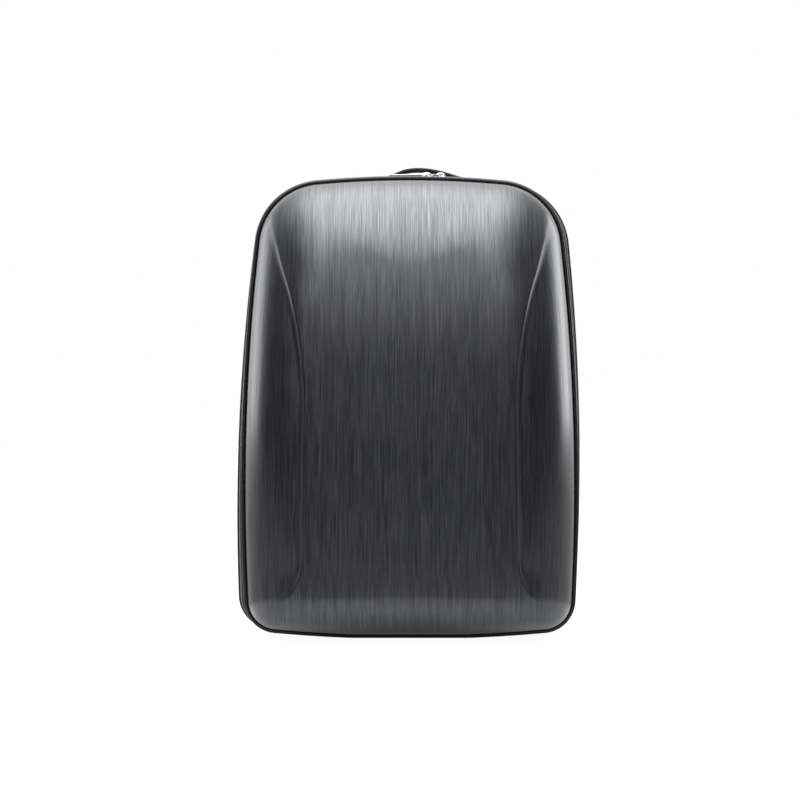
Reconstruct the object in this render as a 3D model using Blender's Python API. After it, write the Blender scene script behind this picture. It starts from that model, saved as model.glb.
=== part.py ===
"""Hard shell backpack as solids at their real size, in metres, +Z up, front towards -Y."""
import math

import bmesh
import bpy
from mathutils import Vector

# Outline over the front piping, seen from the front
HALF_WIDTH = 0.1688
HEIGHT = 0.4622
WIDEST_Z = 0.150
SIDE_ARC = 2.180
TOP_ARC = 1.010
BOTTOM_ARC = 1.540
TOP_CORNER = 0.068
BOTTOM_CORNER = 0.033

# How the rear half differs from the front half
REAR_GROWTH = 0.0042
REAR_RISE = 0.0012
TWIST_DEG = 0.8
TWIST_Z = 0.238

# How far the loaded bottom settles on the floor, and up to what height
SETTLE = 0.0012
SETTLE_REACH = 0.060

GAP = 0.0003

# Front shell
SHELL_DEPTH = 0.092
SHELL_WALL = 0.0025
SHELL_ROLL_SIDE = 0.065
SHELL_ROLL_TOP = 0.098
SHELL_ROLL_BOTTOM = 0.060
SHELL_ROLL_POWER = 2.3
LEAN_REACH = 0.245
LEAN_OVERRUN = 0.045
LEAN_POWER = 2.6
CROWN_RADIUS = 0.83
SPINE_LOW_Z = 0.095
SPINE_HIGH_Z = 0.330

# Scoops beside the proud centre panel
SCOOP_DEPTH = 0.0045
SCOOP_REACH = 0.050
STEP_RUN = 0.006
SCOOP_RIM_CLEAR = 0.014

# Zip band, from the front piping back to the rear piping
PIPING_RADIUS = 0.0022
TAPE_INSET = 0.0015
TAPE_WALL = 0.0020
TAPE_WIDTH = 0.0085
CHAIN_WIDTH = 0.0060
CHAIN_PROUD = 0.0006
HINGE_HALF_SHARE = 0.66

# Rear case and back panel
CASE_DEPTH = 0.064
CASE_WALL = 0.0030
CASE_ROLL = 0.018
PAD_THICK = 0.014
PAD_HALF_WIDTH = 0.098
PAD_LOW_Z = 0.065
PAD_HIGH_Z = 0.378
PAD_CORNER = 0.030
PAD_EDGE = 0.005

# Handle on top
HANDLE_X = 0.0185
HANDLE_SPAN = 0.092
HANDLE_TAB = 0.022
HANDLE_RISE = 0.0096
HANDLE_WIDTH = 0.025
HANDLE_THICK = 0.0032

# Zip sliders and pulls
SLIDER_LEFT_X = 0.017
SLIDER_RIGHT_X = 0.031
SLIDER_LENGTH = 0.0110
SLIDER_WIDTH = 0.0080
SLIDER_PLATE = 0.0014
BRIDGE_LENGTH = 0.0096
BRIDGE_BAR = 0.0011
BRIDGE_WINDOW = 0.0024
BRIDGE_WIDTH = 0.0022
BRIDGE_STEPS = 8
PULL_LENGTH = 0.036
PULL_THICK = 0.0014
PULL_BAR = 0.0014
PULL_EYE_WIDTH = 0.0078
PULL_EYE_LENGTH = 0.0048
PULL_TAB_WIDTH = 0.0050
PULL_RIGHT_YAW_DEG = 34.0

# Shoulder straps
STRAP_TOP_X = 0.052
STRAP_END_X = 0.088
STRAP_TOP_Z = 0.434
STRAP_END_Z = 0.160
STRAP_WIDTH = 0.062
STRAP_THICK = 0.012
STRAP_BOW = 0.030
STRAP_CORNER = 0.004

# Ladder locks, their loops and the lower webbing
WEBBING_WIDTH = 0.025
WEBBING_THICK = 0.0016
LOCK_WIDTH = 0.034
LOCK_BAR = 0.0040
LOCK_SLOT = 0.0055
LOCK_THICK = 0.0040
ANCHOR_X = HALF_WIDTH - 0.0348
ANCHOR_Z = 0.056
ANCHOR_TAB = 0.022
ANCHOR_LIFT = 0.002
TAIL_LENGTH = 0.060

# Crease beside the centre panel: share of HEIGHT, share of HALF_WIDTH
CREASE = (
    (0.000, 0.900),
    (0.060, 0.815),
    (0.089, 0.730),
    (0.106, 0.683),
    (0.127, 0.652),
    (0.159, 0.626),
    (0.199, 0.617),
    (0.263, 0.617),
    (0.348, 0.614),
    (0.431, 0.610),
    (0.515, 0.606),
    (0.599, 0.620),
    (0.661, 0.643),
    (0.704, 0.666),
    (0.745, 0.693),
    (0.788, 0.730),
    (0.822, 0.756),
    (0.854, 0.779),
    (0.886, 0.812),
    (0.933, 0.848),
    (1.000, 0.895),
)

# Where the scoops fade in and out: shares of HEIGHT
SCOOP_FOOT = (0.080, 0.165)
SCOOP_HEAD = (0.700, 0.940)

# Rings of the shell outside the crease, as shares of the way from the rim to the crease
RIM_RINGS = (0.010, 0.045, 0.11, 0.21, 0.34, 0.52, 0.70)
# Rings of the shell inside the crease, as shares of the way from the crease to the spine
FACE_RINGS = (0.22, 0.50, 0.78, 1.0)

# Points along each arc of half the outline
BOTTOM_STEPS = 5
LOW_CORNER_STEPS = 5
SIDE_STEPS = 13
HIGH_CORNER_STEPS = 6
TOP_STEPS = 5
PIPING_SIDES = 6
CASE_ROLL_STEPS = 4
PAD_CORNER_STEPS = 4

# Shoulder strap: way down, way out to the side, bow off the back, width, thickness (shares)
STRAP_ROWS = (
    (0.00, 0.00, 0.00, 0.80, 0.62),
    (0.06, 0.00, 0.06, 0.90, 0.85),
    (0.13, 0.00, 0.42, 0.98, 1.00),
    (0.23, 0.05, 0.76, 1.00, 1.00),
    (0.38, 0.18, 0.95, 1.00, 1.00),
    (0.54, 0.42, 1.00, 0.98, 1.00),
    (0.70, 0.68, 0.93, 0.90, 1.00),
    (0.84, 0.87, 0.90, 0.78, 0.95),
    (0.94, 0.96, 0.86, 0.66, 0.85),
    (1.00, 1.00, 0.83, 0.56, 0.70),
)

# Handle between its two tabs: share of the span, share of the rise
HANDLE_ROWS = (
    (0.04, 0.06),
    (0.14, 0.42),
    (0.24, 0.80),
    (0.34, 0.97),
    (0.42, 1.00),
    (0.54, 0.92),
    (0.68, 0.68),
    (0.82, 0.34),
    (0.95, 0.06),
)

# Colours from the photograph: name, colour, roughness, metallic
FINISHES = {
    "shell_film": ((0.035, 0.036, 0.040), 0.32, 0.0),
    "piping_black": ((0.008, 0.008, 0.009), 0.25, 0.0),
    "zip_tape": ((0.016, 0.016, 0.018), 0.85, 0.0),
    "zip_coil": ((0.010, 0.010, 0.011), 0.45, 0.0),
    "case_cloth": ((0.020, 0.020, 0.022), 0.90, 0.0),
    "pad_mesh": ((0.014, 0.014, 0.015), 0.95, 0.0),
    "webbing": ((0.010, 0.010, 0.011), 0.80, 0.0),
    "lock_plastic": ((0.012, 0.012, 0.013), 0.45, 0.0),
    "zip_metal": ((0.78, 0.78, 0.80), 0.18, 1.0),
}


def mix(first, second, share):
    """Value between two values."""
    return first + (second - first) * share


def smooth(value, low, high):
    """Ease from 0 at low to 1 at high."""
    share = min(1.0, max(0.0, (value - low) / (high - low)))
    return share * share * (3.0 - 2.0 * share)


def along_table(rows, key, column=1):
    """Read a table of rows at a key, eased through its rows without overshoot."""
    key = min(rows[-1][0], max(rows[0][0], key))
    place = max(i for i in range(len(rows) - 1) if rows[i][0] <= key)
    spans = []
    for i in range(len(rows) - 1):
        spans.append((rows[i + 1][column] - rows[i][column]) / (rows[i + 1][0] - rows[i][0]))

    def slope(i):
        before = spans[max(0, i - 1)]
        after = spans[min(len(spans) - 1, i)]
        return 0.0 if before * after < 0.0 else 0.5 * (before + after)

    width = rows[place + 1][0] - rows[place][0]
    t = (key - rows[place][0]) / width
    start = rows[place][column]
    end = rows[place + 1][column]
    value = start * (2 * t**3 - 3 * t**2 + 1) + end * (3 * t**2 - 2 * t**3)
    value += slope(place) * width * (t**3 - 2 * t**2 + t)
    value += slope(place + 1) * width * (t**3 - t**2)
    return value


def circles_meet(first, first_radius, second, second_radius, low):
    """Right-hand point where two circles cross, the lower one if low."""
    reach = second - first
    span = reach.length
    along = (first_radius**2 - second_radius**2 + span**2) / (2.0 * span)
    off = math.sqrt(max(0.0, first_radius**2 - along**2))
    unit = reach / span
    middle = first + unit * along
    across = Vector((-unit.y, unit.x))
    points = [middle + across * off, middle - across * off]
    points = [p for p in points if p.x > 0.0]
    return min(points, key=lambda p: p.y) if low else max(points, key=lambda p: p.y)


def half_outline(half_width, height):
    """Points and outward directions up the right half, from five arcs that run on smoothly."""
    side = Vector((half_width - SIDE_ARC, WIDEST_Z))
    top = Vector((0.0, height - TOP_ARC))
    bottom = Vector((0.0, BOTTOM_ARC))
    low = circles_meet(side, SIDE_ARC - BOTTOM_CORNER, bottom, BOTTOM_ARC - BOTTOM_CORNER, True)
    high = circles_meet(side, SIDE_ARC - TOP_CORNER, top, TOP_ARC - TOP_CORNER, False)

    def heading(start, end):
        return math.atan2(end.y - start.y, end.x - start.x)

    turns = [-math.pi / 2, heading(bottom, low), heading(side, low)]
    turns += [heading(side, high), heading(top, high), math.pi / 2]
    arcs = (
        (bottom, BOTTOM_ARC, BOTTOM_STEPS),
        (low, BOTTOM_CORNER, LOW_CORNER_STEPS),
        (side, SIDE_ARC, SIDE_STEPS),
        (high, TOP_CORNER, HIGH_CORNER_STEPS),
        (top, TOP_ARC, TOP_STEPS),
    )
    points = []
    for number, (centre, radius, steps) in enumerate(arcs):
        for step in range(0 if number == 0 else 1, steps + 1):
            turn = mix(turns[number], turns[number + 1], step / steps)
            out = Vector((math.cos(turn), math.sin(turn)))
            points.append((centre + out * radius, out))
    return points


def whole_outline(half_width, height, twist_deg):
    """Closed outline from the bottom middle, up the right side and down the left."""
    right = half_outline(half_width, height)
    left = [(Vector((-p.x, p.y)), Vector((-n.x, n.y))) for p, n in reversed(right[1:-1])]
    turn = math.radians(-twist_deg)
    pivot = Vector((0.0, TWIST_Z))
    cosine = math.cos(turn)
    sine = math.sin(turn)

    def turned(v):
        return Vector((v.x * cosine - v.y * sine, v.x * sine + v.y * cosine))

    return [(pivot + turned(p - pivot), turned(n)) for p, n in right + left]


FRONT = whole_outline(HALF_WIDTH, HEIGHT, 0.0)
REAR = whole_outline(HALF_WIDTH + REAR_GROWTH, HEIGHT + REAR_RISE, TWIST_DEG)
COUNT = len(FRONT)

# Stations from front to back, measured from the middle of the front piping
TAPE_FRONT_Y = PIPING_RADIUS + GAP
CHAIN_Y = TAPE_FRONT_Y + TAPE_WIDTH + GAP
TAPE_REAR_Y = CHAIN_Y + CHAIN_WIDTH + GAP
REAR_PIPING_Y = TAPE_REAR_Y + TAPE_WIDTH + GAP + PIPING_RADIUS
CASE_Y = REAR_PIPING_Y + PIPING_RADIUS + GAP
CASE_BACK_Y = CASE_Y + CASE_DEPTH
PAD_Y = CASE_BACK_Y + GAP
PAD_BACK_Y = PAD_Y + PAD_THICK
STRAP_BACK_Y = PAD_BACK_Y + STRAP_BOW + STRAP_THICK

# The part is centred front to back over the origin
MIDDLE_Y = 0.5 * (STRAP_BACK_Y - SHELL_DEPTH)
SHELL_INSET = 2.0 * PIPING_RADIUS + GAP


def rim_point(index, y, inset, sag=0.0):
    """Point of the outline at a depth y, set in from it and settled on the floor."""
    share = min(1.0, max(0.0, y / REAR_PIPING_Y))
    front, front_out = FRONT[index]
    rear, rear_out = REAR[index]
    spot = (front - front_out * inset).lerp(rear - rear_out * inset, share)
    drop = (SETTLE + sag) * max(0.0, 1.0 - spot.y / SETTLE_REACH)
    return Vector((spot.x, y - MIDDLE_Y, max(inset - sag, spot.y - drop)))


def rim_ring(y, inset, sag=0.0):
    """Closed ring of outline points at one depth."""
    return [rim_point(i, y, inset, sag) for i in range(COUNT)]


def top_at(x, y, inset):
    """Height of the outline's top at a place across."""
    ring = [p for p in rim_ring(y, inset) if p.z > 0.6 * HEIGHT]
    ring.sort(key=lambda p: p.x)
    for before, after in zip(ring, ring[1:]):
        if before.x <= x <= after.x:
            return mix(before.z, after.z, (x - before.x) / (after.x - before.x))
    return ring[0].z


def finish(name):
    """Principled material for one finish."""
    material = bpy.data.materials.get(name)
    if material is None:
        colour, roughness, metallic = FINISHES[name]
        material = bpy.data.materials.new(name)
        material.use_nodes = True
        shader = material.node_tree.nodes["Principled BSDF"]
        shader.inputs["Base Color"].default_value = (*colour, 1.0)
        shader.inputs["Roughness"].default_value = roughness
        shader.inputs["Metallic"].default_value = metallic
    return material


def add_piece(name, bm, finish_name, origin=(0.0, 0.0, 0.0)):
    """Close a bmesh into a named object whose origin is given."""
    origin = Vector(origin)
    bmesh.ops.remove_doubles(bm, verts=bm.verts, dist=1e-6)
    bmesh.ops.dissolve_degenerate(bm, edges=bm.edges, dist=1e-7)
    bmesh.ops.recalc_face_normals(bm, faces=bm.faces)
    bmesh.ops.translate(bm, verts=bm.verts, vec=-origin)
    mesh = bpy.data.meshes.new(name)
    bm.to_mesh(mesh)
    bm.free()
    mesh.materials.append(finish(finish_name))
    piece = bpy.data.objects.new(name, mesh)
    piece.location = origin
    bpy.context.collection.objects.link(piece)
    return piece


def first_ring(bm, ring):
    """Start a loft: the ring's vertices know their place in it."""
    slot = bm.verts.layers.int.new("slot")
    verts = []
    for number, place in enumerate(ring):
        vert = bm.verts.new(place)
        vert[slot] = number
        verts.append(vert)
    edges = [bm.edges.new((verts[i - 1], verts[i])) for i in range(len(verts))]
    return slot, edges


def next_ring(bm, slot, edges, ring):
    """Extrude a loft's open edge to its next ring."""
    made = bmesh.ops.extrude_edge_only(bm, edges=edges)["geom"]
    fresh = {v for v in made if isinstance(v, bmesh.types.BMVert)}
    for vert in fresh:
        vert.co = ring[vert[slot]]
    lines = [e for e in made if isinstance(e, bmesh.types.BMEdge)]
    return [e for e in lines if e.verts[0] in fresh and e.verts[1] in fresh]


def loft(rings, closed=False, capped=True):
    """Bmesh through matching rings: a closed tube, or one with flat ends."""
    bm = bmesh.new()
    slot, edges = first_ring(bm, rings[0])
    if capped and not closed:
        bmesh.ops.edgeloop_fill(bm, edges=edges)
    for ring in rings[1:]:
        edges = next_ring(bm, slot, edges, ring)
    if closed:
        next_ring(bm, slot, edges, rings[0])
    elif capped:
        bmesh.ops.edgeloop_fill(bm, edges=edges)
    return bm


def ribbon(path, across, section):
    """Sweep a section (side, out pairs for each point) along a path in one piece."""
    rings = []
    last = len(path) - 1
    for i, point in enumerate(path):
        before = (point - path[i - 1]).normalized() if i > 0 else None
        after = (path[i + 1] - point).normalized() if i < last else None
        before = before or after
        after = after or before
        along = (before + after).normalized()
        miter = min(1.5, 1.0 / max(0.1, along.dot(after)))
        out = along.cross(across).normalized()
        side = out.cross(along).normalized()
        rings.append([point + side * a + out * (b * miter) for a, b in section(i)])
    return loft(rings)


def strip_section(width, thick):
    """Section of flat webbing."""
    a = width / 2
    b = thick / 2
    return lambda i: ((-a, -b), (a, -b), (a, b), (-a, b))


def trimmed(end, neighbour):
    """End ring of a band moved in by half the gap that it keeps from the next band."""
    share = 0.5 * GAP / (neighbour[0] - end[0]).length
    return [a.lerp(b, share) for a, b in zip(end, neighbour)]


def band_piece(name, finish_name, y_start, y_end, inset, wall, first=0, last=None):
    """Cloth band round the outline, whole or between two of its points."""
    whole = last is None
    last = COUNT - 1 if whole else last
    corners = ((y_start, inset), (y_end, inset), (y_end, inset + wall), (y_start, inset + wall))
    rings = []
    for i in range(first, last + 1):
        rings.append([rim_point(i % COUNT, y, deep) for y, deep in corners])
    if not whole:
        rings[0] = trimmed(rings[0], rings[1])
        rings[-1] = trimmed(rings[-1], rings[-2])
    return add_piece(name, loft(rings, closed=whole), finish_name)


def piping_piece(name, y):
    """Round cord along the outline."""
    rings = []
    for i in range(COUNT):
        centre = rim_point(i, y, PIPING_RADIUS)
        _, out = FRONT[i] if y == 0.0 else REAR[i]
        ring = []
        for side in range(PIPING_SIDES):
            turn = 2.0 * math.pi * side / PIPING_SIDES
            reach = PIPING_RADIUS * math.cos(turn)
            depth = PIPING_RADIUS * math.sin(turn)
            ring.append(centre + Vector((out.x * reach, depth, out.y * reach)))
        rings.append(ring)
    return add_piece(name, loft(rings, closed=True), "piping_black")


def crease_x(z):
    """Half width of the centre panel at a height."""
    return HALF_WIDTH * along_table(CREASE, z / HEIGHT)


def scoop(x, z, rim_distance):
    """How deep the side scoop lies below the dome."""
    probe = 0.001
    slope = (crease_x(z + probe) - crease_x(z - probe)) / (2.0 * probe)
    away = (abs(x) - crease_x(z)) / math.sqrt(1.0 + slope * slope)
    if away <= 0.0 or away >= SCOOP_REACH:
        return 0.0
    share = z / HEIGHT
    fade = smooth(share, *SCOOP_FOOT) * (1.0 - smooth(share, *SCOOP_HEAD))
    step = 1.0 - (1.0 - min(1.0, away / STEP_RUN)) ** 2
    rise = (1.0 - away / SCOOP_REACH) ** 1.5
    return SCOOP_DEPTH * fade * step * rise * min(1.0, rim_distance / SCOOP_RIM_CLEAR)


def rolled(distance, reach, power):
    """Share of full depth at a distance in from an edge."""
    open_share = max(0.0, 1.0 - distance / reach)
    return (1.0 - open_share**power) ** (1.0 / power)


def shell_point(index, share, wall):
    """Point of the shell on the way from rim (0) to spine (1); wall > 0 is the inner face."""
    rim = rim_point(index, 0.0, SHELL_INSET + wall)
    _, out = FRONT[index]
    core = Vector((0.0, min(SPINE_HIGH_Z, max(SPINE_LOW_Z, rim.z))))
    way = Vector((rim.x, rim.z)) - core
    x = core.x + way.x * (1.0 - share)
    z = core.y + way.y * (1.0 - share)
    inward = share * way.dot(out)
    end_roll = SHELL_ROLL_TOP if out.y > 0.0 else SHELL_ROLL_BOTTOM
    reach = mix(SHELL_ROLL_SIDE, end_roll, smooth(abs(out.y), 0.0, 1.0)) - wall
    lean = rolled(HEIGHT + LEAN_OVERRUN - z, LEAN_REACH, LEAN_POWER)
    full = SHELL_DEPTH * lean - x * x / (2.0 * CROWN_RADIUS) - wall
    depth = full * rolled(inward, reach, SHELL_ROLL_POWER)
    depth -= scoop(x, z, inward)
    return Vector((x, -depth - MIDDLE_Y, z))


def crease_shares():
    """For each outline point, the share of its way in at which it meets the crease."""
    shares = []
    for index in range(COUNT):
        found = 0.10 if FRONT[index][1].y > 0.0 else 0.20
        scan = [0.02 * k for k in range(2, 45)]
        for share in scan:
            spot = shell_point(index, share, 0.0)
            if abs(spot.x) < crease_x(spot.z):
                break
            found = share
        low, high = found, found + 0.02
        for _ in range(20):
            middle = 0.5 * (low + high)
            spot = shell_point(index, middle, 0.0)
            if abs(spot.x) < crease_x(spot.z):
                high = middle
            else:
                low = middle
        shares.append(max(0.09, low))
    for _ in range(1):
        shares = [
            0.25 * shares[i - 1] + 0.5 * shares[i] + 0.25 * shares[(i + 1) % COUNT]
            for i in range(COUNT)
        ]
    return shares


def shell_rings(wall):
    """Rings of one face of the shell, from its rim to its spine."""
    shares = crease_shares()
    rings = [rim_ring(PIPING_RADIUS, SHELL_INSET + wall)]
    rings.append([shell_point(i, 0.0, wall) for i in range(COUNT)])
    for part in RIM_RINGS if wall == 0.0 else RIM_RINGS[1:]:
        rings.append([shell_point(i, part * shares[i], wall) for i in range(COUNT)])
    for part in (1.0, 0.45, 0.0):
        ring = []
        for i in range(COUNT):
            way = shell_point(i, 0.0, wall)
            span = math.hypot(way.x, way.z - min(SPINE_HIGH_Z, max(SPINE_LOW_Z, way.z)))
            step = min(STEP_RUN / span, 0.25 * shares[i])
            ring.append(shell_point(i, shares[i] - part * step, wall))
        rings.append(ring)
    for part in FACE_RINGS:
        rings.append([shell_point(i, mix(shares[i], 1.0, part), wall) for i in range(COUNT)])
    return rings


def build_shell():
    """Hard front half: two faces lofted to the spine and joined at the rim."""
    outer = shell_rings(0.0)
    inner = shell_rings(SHELL_WALL)
    return add_piece("front_shell", loft(outer[::-1] + inner, capped=False), "shell_film")


def case_rings(wall):
    """Rings of one face of the rear case, from its open edge to its flat back."""
    inset = TAPE_INSET + wall
    rings = [rim_ring(CASE_Y, inset, TAPE_INSET)]
    roll = CASE_ROLL - wall
    start = CASE_BACK_Y - CASE_ROLL
    for step in range(CASE_ROLL_STEPS + 1):
        turn = 0.5 * math.pi * step / CASE_ROLL_STEPS
        set_in = inset + roll * (1.0 - math.cos(turn))
        y = start + roll * math.sin(turn)
        rings.append(rim_ring(y, set_in, TAPE_INSET))
    return rings


def build_case():
    """Rear half: a cloth tray with a flat back, open to the front."""
    return add_piece("rear_case", loft(case_rings(0.0)[::-1] + case_rings(CASE_WALL)), "case_cloth")


def pad_ring(y, inset):
    """Rounded rectangle of the back panel."""
    ring = []
    half_height = 0.5 * (PAD_HIGH_Z - PAD_LOW_Z)
    middle = 0.5 * (PAD_HIGH_Z + PAD_LOW_Z)
    for quarter, (sx, sz) in enumerate(((1, -1), (1, 1), (-1, 1), (-1, -1))):
        centre_x = sx * (PAD_HALF_WIDTH - PAD_CORNER)
        centre_z = middle + sz * (half_height - PAD_CORNER)
        for step in range(PAD_CORNER_STEPS + 1):
            turn = 0.5 * math.pi * (quarter - 1 + step / PAD_CORNER_STEPS)
            reach = PAD_CORNER - inset
            x = centre_x + reach * math.cos(turn)
            z = centre_z + reach * math.sin(turn)
            ring.append(Vector((x, y - MIDDLE_Y, z)))
    return ring


def build_back_panel():
    """Pad on the rear case's flat back, with softened edges."""
    rings = [
        pad_ring(PAD_Y, 0.3 * PAD_EDGE),
        pad_ring(PAD_Y + 0.3 * PAD_EDGE, 0.0),
        pad_ring(PAD_BACK_Y - PAD_EDGE, 0.0),
        pad_ring(PAD_BACK_Y - 0.3 * PAD_EDGE, 0.3 * PAD_EDGE),
        pad_ring(PAD_BACK_Y, PAD_EDGE),
    ]
    return add_piece("back_panel", loft(rings), "pad_mesh")


def build_zip_band():
    """Cloth tapes, zip chain and bottom hinge between the two pipings."""
    band_piece("zip_tape_front", "zip_tape", TAPE_FRONT_Y, TAPE_FRONT_Y + TAPE_WIDTH,
               TAPE_INSET, TAPE_WALL)
    band_piece("zip_tape_rear", "zip_tape", TAPE_REAR_Y, TAPE_REAR_Y + TAPE_WIDTH,
               TAPE_INSET, TAPE_WALL)
    span = [i for i in range(COUNT) if abs(FRONT[i][0].x) > HINGE_HALF_SHARE * HALF_WIDTH]
    lowest = [i for i in span if FRONT[i][0].y < 0.5 * HEIGHT]
    first = min(lowest)
    last = max(lowest)
    chain_inset = TAPE_INSET - CHAIN_PROUD
    chain_wall = TAPE_WALL + CHAIN_PROUD
    band_piece("zip_chain", "zip_coil", CHAIN_Y, CHAIN_Y + CHAIN_WIDTH,
               chain_inset, chain_wall, first, last)
    band_piece("bottom_hinge", "zip_tape", CHAIN_Y, CHAIN_Y + CHAIN_WIDTH,
               TAPE_INSET, TAPE_WALL, last, COUNT + first)


def build_handle():
    """Webbing handle: a tab sewn down at each end and a low arch between."""
    y = 0.5 * (CASE_Y + CASE_BACK_Y)
    lift = GAP + HANDLE_THICK / 2
    left = HANDLE_X - HANDLE_SPAN / 2
    spots = [left - HANDLE_TAB, left]
    spots += [left + share * HANDLE_SPAN for share, _ in HANDLE_ROWS]
    spots += [left + HANDLE_SPAN, left + HANDLE_SPAN + HANDLE_TAB]
    rises = [0.0, 0.0] + [HANDLE_RISE * rise for _, rise in HANDLE_ROWS] + [0.0, 0.0]
    path = []
    for x, rise in zip(spots, rises):
        path.append(Vector((x, y - MIDDLE_Y, top_at(x, y, TAPE_INSET) + lift + rise)))
    bm = ribbon(path, Vector((0.0, 1.0, 0.0)), strip_section(HANDLE_WIDTH, HANDLE_THICK))
    return add_piece("handle", bm, "webbing")


def windowed_plate(us, vs, open_cells, thick, place):
    """Flat plate on a lattice of lines with some cells open; place maps (u, v, w) to space."""
    bm = bmesh.new()
    low = {}
    high = {}
    for i, u in enumerate(us):
        for j, v in enumerate(vs[i]):
            low[i, j] = bm.verts.new(place(u, v, -thick / 2))
            high[i, j] = bm.verts.new(place(u, v, thick / 2))
    cells = []
    for i in range(len(us) - 1):
        for j in range(len(vs[0]) - 1):
            if (i, j) not in open_cells:
                cells.append(((i, j), (i + 1, j), (i + 1, j + 1), (i, j + 1)))
    sides = {}
    for corners in cells:
        bm.faces.new([high[c] for c in corners])
        bm.faces.new([low[c] for c in reversed(corners)])
        for a, b in zip(corners, corners[1:] + corners[:1]):
            sides[a, b] = True
    for a, b in list(sides):
        if (b, a) not in sides:
            bm.faces.new((low[a], low[b], high[b], high[a]))
    loose = [v for v in bm.verts if not v.link_faces]
    bmesh.ops.delete(bm, geom=loose, context="VERTS")
    return bm


def slider_frame(x):
    """Seat of a slider on the chain: its middle, and its directions along, across and out."""
    y = CHAIN_Y + CHAIN_WIDTH / 2
    inset = TAPE_INSET - CHAIN_PROUD

    def spot(dx, dy):
        return Vector((x + dx, y + dy - MIDDLE_Y, top_at(x + dx, y + dy, inset)))

    along = (spot(SLIDER_LENGTH / 2, 0.0) - spot(-SLIDER_LENGTH / 2, 0.0)).normalized()
    across = spot(0.0, CHAIN_WIDTH / 2) - spot(0.0, -CHAIN_WIDTH / 2)
    out = along.cross(across).normalized()
    across = out.cross(along)
    return spot(0.0, 0.0) + out * (GAP + SLIDER_PLATE), along, across, out


def build_slider(name, x):
    """Slider plate with the bridge that its pull hangs on."""
    seat, along, across, out = slider_frame(x)

    def place(u, v, w):
        return seat + along * u + across * v + out * w

    half = SLIDER_LENGTH / 2
    leg_out = BRIDGE_LENGTH / 2
    leg_in = leg_out - BRIDGE_BAR
    side = SLIDER_WIDTH / 2
    rib = BRIDGE_WIDTH / 2
    xs = (-half, -leg_out, -leg_in, leg_in, leg_out, half)
    ys = (-side, -rib, rib, side)
    bm = bmesh.new()
    top = {}
    low = {}
    for i, u in enumerate(xs):
        for j, v in enumerate(ys):
            top[i, j] = bm.verts.new(place(u, v, 0.0))
            low[i, j] = bm.verts.new(place(u, v, -SLIDER_PLATE))
    legs = ((1, 1), (3, 1))
    for i in range(len(xs) - 1):
        for j in range(len(ys) - 1):
            corners = ((i, j), (i + 1, j), (i + 1, j + 1), (i, j + 1))
            if (i, j) not in legs:
                bm.faces.new([top[c] for c in corners])
            bm.faces.new([low[c] for c in reversed(corners)])
    rows = len(ys) - 1
    columns = len(xs) - 1
    for i in range(columns):
        bm.faces.new((low[i, 0], low[i + 1, 0], top[i + 1, 0], top[i, 0]))
        bm.faces.new((top[i, rows], top[i + 1, rows], low[i + 1, rows], low[i, rows]))
    for j in range(rows):
        bm.faces.new((top[0, j], top[0, j + 1], low[0, j + 1], low[0, j]))
        bm.faces.new((low[columns, j], low[columns, j + 1], top[columns, j + 1], top[columns, j]))

    rings = [[top[1, 1], top[1, 2], top[2, 2], top[2, 1]]]
    for step in range(1, BRIDGE_STEPS):
        turn = math.pi * step / BRIDGE_STEPS
        swell = math.sin(turn) ** 0.7
        outer = (-leg_out * math.cos(turn), (BRIDGE_WINDOW + BRIDGE_BAR) * swell)
        inner = (-leg_in * math.cos(turn), BRIDGE_WINDOW * swell)
        corners = ((outer, -rib), (outer, rib), (inner, rib), (inner, -rib))
        rings.append([bm.verts.new(place(u, v, w)) for (u, w), v in corners])
    rings.append([top[4, 1], top[4, 2], top[3, 2], top[3, 1]])
    for before, after in zip(rings, rings[1:]):
        for k in range(4):
            bm.faces.new((before[k - 1], before[k], after[k], after[k - 1]))
    return add_piece(name, bm, "zip_metal")


def band_top(x, y):
    """Height of what lies on top at a place: piping, slider plate, chain, tape or case."""
    if abs(y - REAR_PIPING_Y) < PIPING_RADIUS:
        return top_at(x, y, 0.0)
    for slider_x in (SLIDER_LEFT_X, SLIDER_RIGHT_X):
        seat, along, across, out = slider_frame(slider_x)
        away = Vector((x, y - MIDDLE_Y, seat.z)) - seat
        if abs(away.dot(along)) < SLIDER_LENGTH / 2 and abs(away.dot(across)) < SLIDER_WIDTH / 2:
            return seat.z - (away.x * out.x + away.y * out.y) / out.z
    on_chain = CHAIN_Y <= y <= CHAIN_Y + CHAIN_WIDTH
    return top_at(x, y, TAPE_INSET - CHAIN_PROUD if on_chain else TAPE_INSET)


def resting_rise(axis, flat, across, out):
    """Angle from the slider's plane at which a pull lies on the band or the plate's edge."""
    rises = [-math.asin(0.6 * GAP / (SLIDER_LENGTH / 2))]
    for step in range(6, 25):
        reach = PULL_LENGTH * step / 24
        wide = PULL_TAB_WIDTH if reach > 2.5 * PULL_EYE_LENGTH else PULL_EYE_WIDTH
        for side in (-0.5, 0.0, 0.5):
            spot = axis + flat * reach + across * (side * wide)
            height = band_top(spot.x, spot.y + MIDDLE_Y) + GAP + 0.55 * PULL_THICK
            rises.append(math.asin((height - spot.z) / (reach * out.z)))
    return max(rises)


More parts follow.
